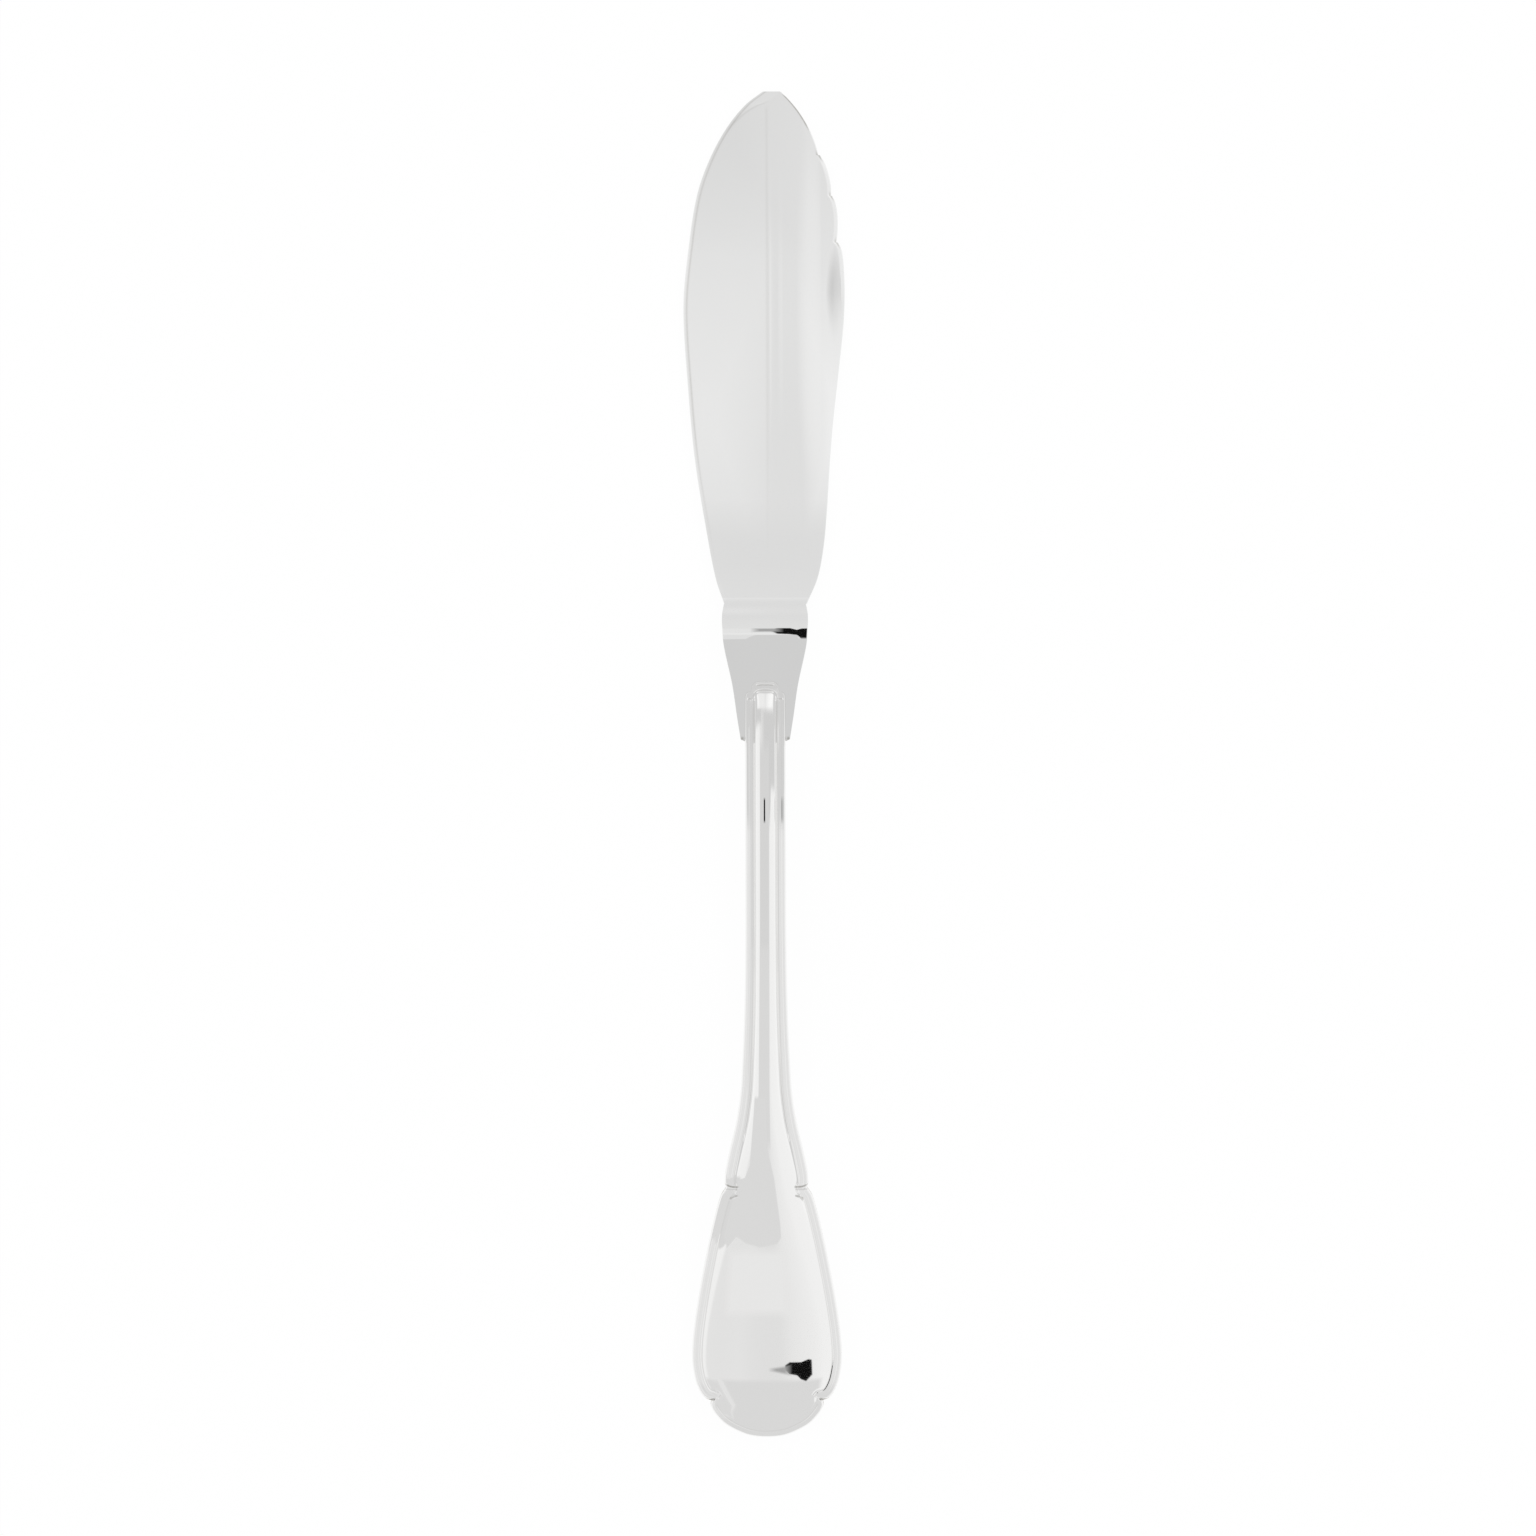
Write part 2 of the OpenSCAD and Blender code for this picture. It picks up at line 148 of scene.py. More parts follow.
def along(table, at):
    """A smooth value from a table of places and values."""
    place, value = np.array(table, float).T
    slope = np.gradient(value, place)
    slope[1:-1] = (value[2:] - value[:-2]) / (place[2:] - place[:-2])
    i = np.clip(np.searchsorted(place, at, side="right") - 1, 0, len(place) - 2)
    w = place[i + 1] - place[i]
    t = np.clip((at - place[i]) / w, 0.0, 1.0)
    rise = value[i + 1] - value[i]
    m, n = slope[i] * w, slope[i + 1] * w
    return value[i] + m * t + (3 * rise - 2 * m - n) * t**2 + (m + n - 2 * rise) * t**3


def neck_plane(s):
    """Height of the middle of the flat neck and tang."""
    return NECK_Z + math.tan(math.radians(NECK_TILT)) * (STEP_S - s)


def seam_z(s):
    """Height of the seam between the halves of the handle: straight over the tang, then bowed down."""
    s = np.asarray(s, float)
    length = BEND_S - REST_S
    t = np.clip((s - REST_S) / length, 0.0, 1.0)
    rise = neck_plane(BEND_S) - END_T / 2
    end_slope = -math.tan(math.radians(NECK_TILT)) * length
    bowed = END_T / 2 + (3 * rise - end_slope) * t**2 + (end_slope - 2 * rise) * t**3
    return np.where(s >= BEND_S, neck_plane(s), bowed)


print("seam over the tang's end:", round(float(seam_z(TANG_END_S)), 2), "mm")

# %% [markdown]
# ## Outline of the handle
#
# The broad end, its two notches on each side, the flare, the straight stem and the front end with two
# small ears beside a low arch are runs of one closed line. The shares are points, each
# scaled by the real width and length of its own run.

# %% The closed outline
BUTT = [[-0.22, 0.006], [0, 0], [0.22, 0.006], [0.41, 0.027], [0.565, 0.054], [0.66, 0.082],
        [0.72, 0.106], [0.75, 0.128], [0.742, 0.147]]
FLANK = [[0.745, 0.15], [0.83, 0.16], [0.906, 0.19], [0.966, 0.24], [1, 0.32], [0.974, 0.436],
         [0.889, 0.6], [0.778, 0.77], [0.68, 0.897], [0.615, 0.964], [0.578, 0.984]]
SHOULDER_NOTCH = [0.543, 1]
FLARE = [[0.955, 0.022], [0.914, 0.061], [0.73, 0.137], [0.423, 0.251], [0.229, 0.366],
         [0.15, 0.48], [0.086, 0.6], [0.03, 0.77], [0, 1]]
EAR = [[1, 0], [0.97, 0.28], [0.84, 0.43], [0.7, 0.42]]
ARCH = [[0.69, 0.47], [0.65, 0.76], [0.47, 0.94], [0, 1], [-0.47, 0.94]]
BUTT_STEPS, FLANK_STEPS, NOTCH_STEPS, FOOT_STEPS, FLARE_STEPS = 10, 16, 14, 16, 20
STEM_STEPS, MOUTH_STEPS, FRONT_STEPS = 60, 20, 9


def end_points(shares):
    """Points of the broad end, from shares of its half width and of its length."""
    return [[x * END_W / 2, s * END_L] for x, s in shares]


def flare_points(shares):
    """Points of the flare, from shares of its growth in width and of its length."""
    return [[mix(STEM_W, SHOULDER_W, x) / 2, END_L + s * FLARE_L] for x, s in shares]


def front_points(shares):
    """Points of the front end, from shares of the stem's half width and of the end's length."""
    return [[x * STEM_W / 2, HANDLE_L - FRONT_L + s * FRONT_L] for x, s in shares]


def straight(start, end, count):
    """Points on a straight line, without the last one."""
    return mix(np.array(start), np.array(end), np.arange(count)[:, None] / count)


notch, flare_foot = end_points([SHOULDER_NOTCH])[0], flare_points(FLARE)[0]
side_x = STEM_W / 2
right = np.vstack([
    curve(end_points(BUTT), BUTT_STEPS, 1),
    curve(end_points(FLANK), FLANK_STEPS),
    straight(end_points(FLANK)[-1], notch, NOTCH_STEPS),
    straight(notch, flare_foot, FOOT_STEPS),
    curve(flare_points(FLARE), FLARE_STEPS),
    straight((side_x, STEM_START_S), (side_x, SLOT_S - SLOT_EDGE), STEM_STEPS),
    [[side_x, SLOT_S - SLOT_EDGE]],
    straight((side_x, SLOT_S + SLOT_EDGE), (side_x, HANDLE_L - FRONT_L), MOUTH_STEPS),
    curve(front_points(EAR), FRONT_STEPS),
    curve(front_points(ARCH), FRONT_STEPS, 0, 1),
    [[0.0, HANDLE_L]],
])
outline = np.vstack([right, right[-2:0:-1] * [-1, 1]])
print("points round the outline:", len(outline))

# %% [markdown]
# ## Rows from the rim to the spine
#
# Each half of the handle is laid out flat first, as a pattern of rows that start at the outline and run
# in to the middle line. Near the butt and the front end the rows fan out from a short stretch of the
# middle line. The rows are close together in the band of threads, where the relief is fine, and wider
# apart in the smooth field.

# %% The bands and the middle line
STEM_BAND, END_BAND, BUTT_BAND = 1.3, 1.5, 0.95
BAND_ROWS = np.concatenate([[0, 0.01, 0.03, 0.06], np.linspace(0.1, 1.0, 25)])
FIELD_ROWS = np.concatenate([np.linspace(0.02, 0.26, 13), np.linspace(0.3, 1.0, 20)])
LEAST_SQUARE = 0.62


def to_stem(s):
    """0 on the broad end and 1 on the stem."""
    return ease((np.asarray(s) - END_L) / FLARE_L)


def spine_s(s):
    """Where the row that starts at a place along the outline meets the middle line."""
    s = np.asarray(s, float)
    e = HANDLE_L - s
    butt = BUTT_CENTRE + s * s / (4 * BUTT_CENTRE)
    front = HANDLE_L - FRONT_CENTRE - e * e / (4 * FRONT_CENTRE)
    return np.where(s < 2 * BUTT_CENTRE, butt, np.where(e < 2 * FRONT_CENTRE, front, s))


BUTT_BAND_END_S = 0.5 * (BUTT[-1][1] + FLANK[0][1]) * END_L


def band_w(s):
    """Width of the band of threads."""
    return np.where(s < BUTT_BAND_END_S, BUTT_BAND, mix(END_BAND, STEM_BAND, to_stem(s)))


print("band of threads:", END_BAND, "mm on the broad end,", STEM_BAND, "mm on the stem")

# %% [markdown]
# At the front end the band of threads has no even width: its inner line is the groove that runs round the
# end of the rib. The ends of the rows are moved onto that groove. The keys pair places on the outline with
# the places on the groove that face them.

# %% The groove round the rib
FRONT_START_S, RIB_X = 114.6, 1.9
FRONT_GROOVE = [(RIB_X, 113.0), (RIB_X, FRONT_START_S), (RIB_X, 115.45), (1.74, 116.0), (1.15, 116.45),
                (0.0, 116.62), (-1.15, 116.45)]
FRONT_KEYS = [((side_x, FRONT_START_S), (RIB_X, FRONT_START_S)), ((2.7, 116.3), (RIB_X, 115.45)),
              ((2.2, 116.35), (1.84, 115.9)), ((1.9, 117.6), (1.15, 116.45)),
              ((0.0, HANDLE_L), (0.0, 116.62))]
GROOVE_STEPS = 40


def lengths(points):
    """The distance run along a line at each of its points."""
    return np.concatenate([[0.0], np.cumsum(np.linalg.norm(np.diff(points, axis=0), axis=1))])


def nearest_run(points, place):
    """The distance run along a line at its point nearest to a place."""
    return lengths(points)[np.argmin(np.linalg.norm(points - place, axis=1))]


def front_groove(ends):
    """Moves the ends of the front end's band to the groove round the rib, keeping their order."""
    first = int(np.argmax(right[:, 1] >= FRONT_START_S))
    groove = np.vstack([curve(FRONT_GROOVE, GROOVE_STEPS, 1, 1), [FRONT_GROOVE[-2]]])
    ran = [nearest_run(right[first:], outer) for outer, _ in FRONT_KEYS]
    along_groove = [nearest_run(groove, inner) for _, inner in FRONT_KEYS]
    at = np.interp(lengths(right[first:]), ran, along_groove)
    moved = np.column_stack([np.interp(at, lengths(groove), groove[:, k]) for k in (0, 1)])
    ends[first:len(right)] = moved
    ends[len(right) - 1:len(right) - 1 + len(moved)] = moved[::-1] * [-1, 1]
    return ends


groove_l = lengths(curve(FRONT_GROOVE, GROOVE_STEPS, 1, 1))[-1]
print("groove round the rib:", round(float(groove_l), 1), "mm")

# %% [markdown]
# Each point of the outline now gets its row: its place on the middle line, the way there, and the width of
# its band measured square to the outline.

# %% The rows
rising = np.maximum.accumulate(right[:, 1])
spine = np.column_stack([np.zeros(len(outline)), spine_s(np.append(rising, rising[-2:0:-1]))])
tangent = np.roll(outline, -1, 0) - np.roll(outline, 1, 0)
inward = np.column_stack([-tangent[:, 1], tangent[:, 0]])
inward /= np.linalg.norm(inward, axis=1)[:, None]
row_way = (spine - outline) / np.linalg.norm(spine - outline, axis=1)[:, None]
squareness = np.clip(np.sum(row_way * inward, axis=1), LEAST_SQUARE, 1.0)
band = band_w(outline[:, 1])
band_end = front_groove(outline + row_way * (band / squareness)[:, None])


def pattern_row(in_band, share):
    """One ring of the pattern, at a share of the band or of the field inside it."""
    return mix(outline, band_end, share) if in_band else mix(band_end, spine, share)


pattern = np.array([pattern_row(in_band, share)
                    for in_band, shares in ((True, BAND_ROWS), (False, FIELD_ROWS)) for share in shares])
print("pattern:", pattern.shape[0], "rows of", pattern.shape[1], "points")

# %% [markdown]
# ## Meshes from rings
#
# Both the handle and the blade are closed skins over a stack of rings. One function turns rings into a
# mesh, merges the points that fall together and shades it smooth, and one gives a mesh an object.

# %% Ring meshes
SHARP_ANGLE = math.radians(50)
MERGE_DISTANCE = 2e-7


def ring_faces(count, around):
    """Quads between neighbouring rings."""
    i, j = np.meshgrid(np.arange(count - 1), np.arange(around), indexing="ij")
    a, b = i * around + j, i * around + (j + 1) % around
    return np.stack([a, a + around, b + around, b], axis=-1).reshape(-1, 4)


def new_object(name, mesh):
    """An object for a mesh or a lamp, in the scene."""
    made = bpy.data.objects.new(name, mesh)
    bpy.context.scene.collection.objects.link(made)
    return made


def mesh_of(name, points, faces, values=None, edges=()):
    """A mesh of points in metres, with named values on its points."""
    mesh = bpy.data.meshes.new(name)
    mesh.from_pydata(points.tolist(), edges, [list(face) for face in faces])
    for key, value in (values or {}).items():
        stored_value = mesh.attributes.new(key, "FLOAT", "POINT").data
        stored_value.foreach_set("value", value.astype(np.float32).ravel())
    mesh.update()
    return mesh


def close_up(mesh):
    """Merges the points that fall together, points the faces outwards and shades the mesh smooth."""
    work = bmesh.new()
    work.from_mesh(mesh)
    bmesh.ops.remove_doubles(work, verts=work.verts, dist=MERGE_DISTANCE)
    bmesh.ops.dissolve_degenerate(work, edges=work.edges, dist=MERGE_DISTANCE)
    bmesh.ops.recalc_face_normals(work, faces=work.faces)
    open_edges = sum(not edge.is_manifold for edge in work.edges)
    volume = work.calc_volume(signed=True) / MM**3
    work.to_mesh(mesh)
    work.free()
    mesh.shade_smooth()
    mesh.set_sharp_from_angle(angle=SHARP_ANGLE)
    print(mesh.name, "faces:", len(mesh.polygons), "open edges:", open_edges, "mm3:", round(volume, 1))
    return mesh


print("faces between two rings of the pattern:", len(ring_faces(2, len(outline))))

# %% [markdown]
# ## Arithmetic in node trees
#
# A rule such as "the bead's height is the root of one minus its share squared" takes many small Math
# nodes. A wire is a number that runs through a tree. It can be added, scaled and rooted like a plain
# number, and each step adds one Math node, so a rule can be read in one line.

# %% Wires
class Wire:
    """A number that runs through a node tree."""

    def __init__(self, tree, socket):
        self.tree, self.socket = tree, socket

    def step(self, operation, *others):
        """One Math node: this wire, by an operation, with the other values that it takes."""
        node = self.tree.nodes.new("ShaderNodeMath")
        node.operation = operation
        for socket, value in zip(node.inputs, (self, *others)):
            put(self.tree, value, socket)
        return Wire(self.tree, node.outputs[0])

    def __rsub__(self, other):
        """A plain number less this wire."""
        return self * -1.0 + other

    def root(self):
        """The square root, and 0 for a number under 0."""
        return self.most(0.0).step("SQRT")

    def clamped(self):
        """The number, held between 0 and 1."""
        return self.most(0.0).least(1.0)

    def eased(self):
        """From 0 to 1 with a soft start and a soft end."""
        share = self.clamped()
        return share * share * (3.0 - share * 2.0)


# Each of these signs and words adds one Math node of its kind.
MATH_NODES = {
    "__add__": "ADD", "__sub__": "SUBTRACT", "__mul__": "MULTIPLY", "__truediv__": "DIVIDE",
    "__pow__": "POWER", "least": "MINIMUM", "most": "MAXIMUM", "below": "LESS_THAN",
    "wave": "COSINE", "exp": "EXPONENT",
}
for method, math_node in MATH_NODES.items():
    setattr(Wire, method, lambda wire, *others, kind=math_node: wire.step(kind, *others))


def put(tree, value, socket):
    """Links a wire or a socket to an input, or sets the input to a plain value."""
    if isinstance(value, Wire):
        value = value.socket
    if isinstance(value, bpy.types.NodeSocket):
        tree.links.new(value, socket)
    else:
        socket.default_value = value


def choose(flag, yes, no):
    """yes where the flag is 1, and no where it is 0."""
    return no + flag * (yes - no)


print("a wire's Math nodes:", ", ".join(sorted(MATH_NODES.values())))

# %% [markdown]
# ## Trees
#
# A geometry tree is a small machine with named inputs. It always ends in real geometry with its material.
# It runs on a mesh as a modifier, its inputs are set by their sockets' identifiers, and the result is kept
# as a plain mesh.

# %% Helpers for trees
def add_node(tree, kind, settings=None, inputs=None):
    """A node with its settings and inputs."""
    node = tree.nodes.new(kind)
    for key, value in (settings or {}).items():
        setattr(node, key, value)
    for key, value in (inputs or {}).items():
        put(tree, value, node.inputs[key])
    return node


def new_tree(name, sockets):
    """A geometry tree with a mesh in, a mesh out and named inputs."""
    tree = bpy.data.node_groups.new(name, "GeometryNodeTree")
    tree.interface.new_socket("Geometry", in_out="INPUT", socket_type="NodeSocketGeometry")
    tree.interface.new_socket("Geometry", in_out="OUTPUT", socket_type="NodeSocketGeometry")
    for socket_name, kind in sockets.items():
        tree.interface.new_socket(socket_name, in_out="INPUT", socket_type="NodeSocket" + kind)
    return tree, tree.nodes.new("NodeGroupInput"), tree.nodes.new("NodeGroupOutput")


def finish_tree(tree, geometry, material, end):
    """Ends a tree in real geometry with its material."""
    real = add_node(tree, "GeometryNodeRealizeInstances", inputs={"Geometry": geometry})
    dressed = add_node(tree, "GeometryNodeSetMaterial", inputs={
        "Geometry": real.outputs[0], "Material": material})
    tree.links.new(dressed.outputs[0], end.inputs[0])


def grow(name, mesh, tree, values):
    """Runs a tree on a mesh with its named inputs set, and returns the result as a plain mesh."""
    carrier = new_object(name, mesh)
    modifier = carrier.modifiers.new(tree.name, "NODES")
    modifier.node_group = tree
    for item in tree.interface.items_tree:
        if item.in_out == "INPUT" and item.name in values:
            modifier[item.identifier] = values[item.name]
    bpy.context.view_layer.update()
    evaluated = carrier.evaluated_get(bpy.context.evaluated_depsgraph_get())
    result = bpy.data.meshes.new_from_object(evaluated)
    bpy.data.objects.remove(carrier)
    return result


print("tree helpers ready: add_node, new_tree, finish_tree, grow")

# %% [markdown]
# ## Finishes
#
# Every finish is put together in the same way: noises on the object's own coordinates, a blend between two
# colours by one of them, and a fine relief that catches the light. These helpers do it for the metals and
# for the cement.

# %% Helpers for finishes
def noise(tree, place, scale, detail, stretch=None):
    """A noise value on object coordinates, stretched where a finish follows the knife."""
    if stretch:
        place = add_node(tree, "ShaderNodeMapping", inputs={"Vector": place, "Scale": stretch}).outputs[0]
    made = add_node(tree, "ShaderNodeTexNoise", inputs={"Vector": place, "Scale": scale, "Detail": detail})
    return Wire(tree, made.outputs[0])


def blend(tree, share, first, second):
    """A colour between two colours. The Mix node's colour sockets are told apart by their index."""
    node = add_node(tree, "ShaderNodeMix", {"data_type": "RGBA"})
    put(tree, share, node.inputs[0])
    for socket, colour in ((node.inputs[6], first), (node.inputs[7], second)):
        put(tree, (*colour, 1.0) if isinstance(colour, tuple) else colour, socket)
    return node.outputs[2]


def new_material(name, metallic=1.0):
    """A material with its tree, its shader and its object coordinates."""
    material = bpy.data.materials.new(name)
    material.use_nodes = True
    tree = material.node_tree
    shader = tree.nodes["Principled BSDF"]
    shader.inputs["Metallic"].default_value = metallic
    return material, tree, shader, add_node(tree, "ShaderNodeTexCoord").outputs["Object"]


def dress(tree, shader, colour, rough, relief, strength, depth):
    """Gives a shader its colour, its roughness and a fine relief of a strength and a depth."""
    put(tree, colour, shader.inputs["Base Color"])
    put(tree, rough, shader.inputs["Roughness"])
    bump = add_node(tree, "ShaderNodeBump", inputs={
        "Strength": strength, "Distance": depth, "Height": relief})
    put(tree, bump.outputs[0], shader.inputs["Normal"])


print("finish helpers ready: noise, blend, new_material, dress")

# %% [markdown]
# ## Silver
#
# Silver plate is a mirror with a history. Buffing leaves fine short lines along the knife and a roughness
# that changes a little from place to place, and polish never quite reaches the bottoms of the grooves,
# where a thin grey-brown tarnished film stays. The shells carry that film as a value on their points. The
# blade carries painted dark lines and painted shade in the same value, and the shader darkens the silver by
# it.

# %% The silver finishes
BUFFING_STRETCH = (5200.0, 240.0, 2600.0)
CLOUD_SCALE, SPECK_SCALE = 160.0, 2200.0
CLOUD_PART, WORN_PART, WORN_TONE = 0.7, 0.5, 0.97
TARNISH_ROUGH = 0.12
BUFFING_STRENGTH, BUFFING_DEPTH = 0.06, 2e-6


def silver(name, tone, tarnish_and_shade_tone, least_rough, most_rough):
    """Polished plate. tone is its colour, and the next colour is the dark tone: the tarnished film in the
    handle's recesses, and the painted dark lines and painted shade on the blade.
    """
    material, tree, shader, place = new_material(name)
    lines = noise(tree, place, 1.0, 3.0, BUFFING_STRETCH)
    clouds = noise(tree, place, CLOUD_SCALE, 4.0)
    specks = noise(tree, place, SPECK_SCALE, 2.0)
    recess = Wire(tree, add_node(tree, "ShaderNodeAttribute", {"attribute_name": "recess"}).outputs["Fac"])

    polish = (clouds * CLOUD_PART + lines * (1.0 - CLOUD_PART)).clamped()
    rough = polish * (most_rough - least_rough) + least_rough + recess * TARNISH_ROUGH
    worn = tuple(WORN_TONE * channel for channel in tone)
    cloudy = blend(tree, clouds * WORN_PART, tone, worn)
    # Blends towards the dark tone: the tarnished film on the handle, and painted dark lines and painted shade
    # on the blade.
    tarnish_and_shade_share = (recess * (specks * 0.5 + 0.75)).clamped()
    dress(tree, shader, blend(tree, tarnish_and_shade_share, cloudy, tarnish_and_shade_tone), rough, lines, BUFFING_STRENGTH, BUFFING_DEPTH)
    return material


# The third colour is the dark tone: the handle's tarnished film, and the blade's painted dark lines and
# shade.
blade_silver = silver("polished_blade", (0.93, 0.93, 0.925), (0.5, 0.49, 0.46), 0.035, 0.075)
handle_silver = silver("polished_handle", (0.935, 0.932, 0.925), (0.42, 0.41, 0.385), 0.04, 0.09)
print("finishes:", blade_silver.name, handle_silver.name)

# %% [markdown]
# ## Striking the handle
#
# Each half of the handle is pressed from sheet between two dies, so one rule gives its relief: a rounded
# side, one or two threads beside the edge, a groove, and a crowned field that rises to the middle line.
# At the shoulder the threads stop at a cut, a small collar crosses the edge, and the broad end's threads
# begin in an inward hook. Geometry Nodes measure how far each point of the flat pattern lies from the
# outline, from the cuts and from the raised lines, and lift it by that rule. The tree's inputs are the
# sizes that a die sinker would name.

# %% Cuts and raised lines
BOTH_SIDES = (1, -1)
# Each cut's depth, and the points of its line on the right side of the handle.
CUTS = [
    (0.24, [(4.5, 39.1), (5.3, 39.12), (6.0, 39.33), (6.7, 39.75)]),
    (0.1, [(4.7, 38.72), (5.5, 38.7), (6.4, 38.8)]),
    (0.2, [(4.6, 37.72), (5.15, 37.6), (5.65, 37.3)]),
    (0.7, [(9.9, 5.85), (8.7, 5.9), (8.3, 5.95)]),
    (0.14, [(0.0, 117.3), (0.6, 117.3), (1.22, 117.24)]),
    (0.12, [(2.25, 115.15), (2.5, 115.15), (2.65, 115.1)]),
]
# The raised line's radius, and its points: the small collar at the shoulder.
RAISED = [
    (0.3, [(4.75, 38.2), (5.4, 38.28), (6.1, 38.15), (6.65, 37.75), (6.95, 37.2)]),
]
LINE_STEPS = 12


def line_mesh(name, lines, closed=False):
    """A mesh of edges along lines, each with a value: a cut's depth or a raised line's radius."""
    points, edges, values = [], [], []
    for value, line in lines:
        first = len(points)
        points += [(x * MM, (s - OVERALL_L / 2) * MM, 0.0) for x, s in line]
        values += [value * MM] * len(line)
        edges += [(i, i + 1) for i in range(first, len(points) - 1)]
        if closed:
            edges.append((len(points) - 1, first))
    return new_object(name, mesh_of(name, np.array(points), [], {"value": np.array(values)}, edges))


def mirrored(lines):
    """The same lines, smoothed, on the right and on the left of the handle."""
    smooth = [(value, np.vstack([curve(line, LINE_STEPS), [line[-1]]])) for value, line in lines]
    return [(value, line * [side, 1]) for side in BOTH_SIDES for value, line in smooth]


outline_lines = line_mesh("outline_lines", [(0.0, outline)], closed=True)
cut_lines = line_mesh("cut_lines", mirrored(CUTS))
raised_lines = line_mesh("raised_lines", mirrored(RAISED))
print("cuts:", len(CUTS) * 2, "raised lines:", len(RAISED) * 2)

# %% [markdown]
# The tree first measures: how far a point lies from the outline, from the nearest cut and from the nearest
# raised line, and what the pattern says about its place.

# %% The striking tree: what it measures
STRIKE_INPUTS = {
    "Outline": "Object", "Cuts": "Object", "Raised lines": "Object",
    "Side width": "Float", "Thread depth": "Float", "Groove depth": "Float", "Groove width": "Float",
    "Blend width": "Float", "Cut width": "Float", "Raised drop": "Float", "Finish": "Material",
}
strike, sizes, strike_end = new_tree("strike_handle", STRIKE_INPUTS)


def size_of(name):
    """One of the tree's own sizes."""
    return Wire(strike, sizes.outputs[name])


def stored(name):
    """A value that the pattern carries on its points."""
    return Wire(strike, add_node(strike, "GeometryNodeInputNamedAttribute", {"data_type": "FLOAT"}, {
        "Name": name}).outputs["Attribute"])


def distance_to(object_socket):
    """The distance from each point to the nearest edge of a line mesh, and that line's own value."""
    info = add_node(strike, "GeometryNodeObjectInfo", inputs={"Object": object_socket})
    near = add_node(strike, "GeometryNodeProximity", {"target_element": "EDGES"})
    strike.links.new(info.outputs["Geometry"], near.inputs[0])
    index = add_node(strike, "GeometryNodeSampleNearest", {"domain": "POINT"}, {
        "Geometry": info.outputs["Geometry"]})
    value = add_node(strike, "GeometryNodeSampleIndex", {"data_type": "FLOAT", "domain": "POINT"}, {
        "Geometry": info.outputs["Geometry"], "Index": index.outputs[0]})
    strike.links.new(stored("value").socket, value.inputs["Value"])
    return Wire(strike, near.outputs["Distance"]), Wire(strike, value.outputs[0])


edge_d, _ = distance_to(sizes.outputs["Outline"])
cut_d, cut_depth = distance_to(sizes.outputs["Cuts"])
raised_d, raised_r = distance_to(sizes.outputs["Raised lines"])
band_m, top, beads, crown = stored("band"), stored("top"), stored("beads"), stored("crown")
rim, fullness, quiet, front = stored("rim"), stored("fullness"), stored("quiet"), stored("front")
row_d, field, half = stored("row_d"), stored("field"), stored("half")
ending, front_share = stored("ending"), stored("front_share")
position = add_node(strike, "GeometryNodeInputPosition").outputs[0]
x_here = Wire(strike, add_node(strike, "ShaderNodeSeparateXYZ", inputs={"Vector": position}).outputs["X"])
print("striking tree, after measuring:", len(strike.nodes), "nodes")

# %% [markdown]
# Then it shapes: the rounded side, the threads and the groove of the band, the crowned field inside it, and
# at last the cuts and the raised lines over all of them.

# %% The striking tree: what it shapes
DARK_CUT = 0.3 * MM
GROOVE_BLOOM = 0.15


def bell(distance, width):
    """1 on a line and 0 away from it, with a soft bell between."""
    share = distance / width
    return (share * share * -1.0).exp()


inset = choose(front, row_d, edge_d)
side_share = (inset / size_of("Side width")).least(1.0)
side_h = rim + (top - rim) * (1.0 - (1.0 - side_share) ** 2.0).root()
turn = (inset - size_of("Side width")) * beads / (band_m - size_of("Side width"))
wave = 0.5 - (turn * math.tau).wave() * 0.5
thread_h = top - size_of("Thread depth") * wave * inset.below(band_m)

past = inset - band_m
crown_share = (1.0 - (x_here / half) * (x_here / half) - ending).most(0.0) ** fullness * front_share
dome_h = field + (crown - field) * crown_share
field_h = thread_h + (dome_h - thread_h) * (past / size_of("Blend width")).eased()
struck_h = choose(past.below(0.0), thread_h.least(side_h), field_h)
groove_share = bell(past, size_of("Groove width"))
grooved_h = struck_h - size_of("Groove depth") * groove_share * (1.0 - quiet)

cut_share = bell(cut_d, size_of("Cut width"))
cut_h = (grooved_h - cut_depth * cut_share).most(rim)
ball_h = top - size_of("Raised drop") - raised_r + (raised_r * raised_r - raised_d * raised_d).root()
raised_h = ball_h.least(side_h) * raised_d.below(raised_r)
height = cut_h.most(raised_h)
cut_bloom = cut_share**3.0 * (cut_depth / DARK_CUT).least(1.0)
recess_value = (groove_share * GROOVE_BLOOM * (1.0 - quiet)).most(cut_bloom)

marked = add_node(strike, "GeometryNodeStoreNamedAttribute", {"data_type": "FLOAT", "domain": "POINT"}, {
    "Geometry": sizes.outputs["Geometry"], "Name": "recess", "Value": recess_value})
lift = add_node(strike, "ShaderNodeCombineXYZ", inputs={"Z": height})
lifted = add_node(strike, "GeometryNodeSetPosition", inputs={
    "Geometry": marked.outputs[0], "Offset": lift.outputs[0]})
finish_tree(strike, lifted.outputs[0], sizes.outputs["Finish"], strike_end)
print("striking tree:", len(strike.nodes), "nodes")

# %% [markdown]
# The pattern carries the sizes that change along the handle: how wide the band of threads is, how many
# threads it holds, how high their tops and the crown stand over the seam, and where the threads pause.

# %% Values on the pattern
STEM_BEAD_H, END_BEAD_H = 1.8, 1.35
STEM_FULLNESS, END_FULLNESS = 0.5, 0.7
FIELD_DROP, CROWN_CLEARANCE = 0.1, 0.012
FRONT_RUN_L = 0.6
QUIET_SPANS = [(37.9, 39.5), (5.0, 7.0)]
QUIET_EDGE = 0.35
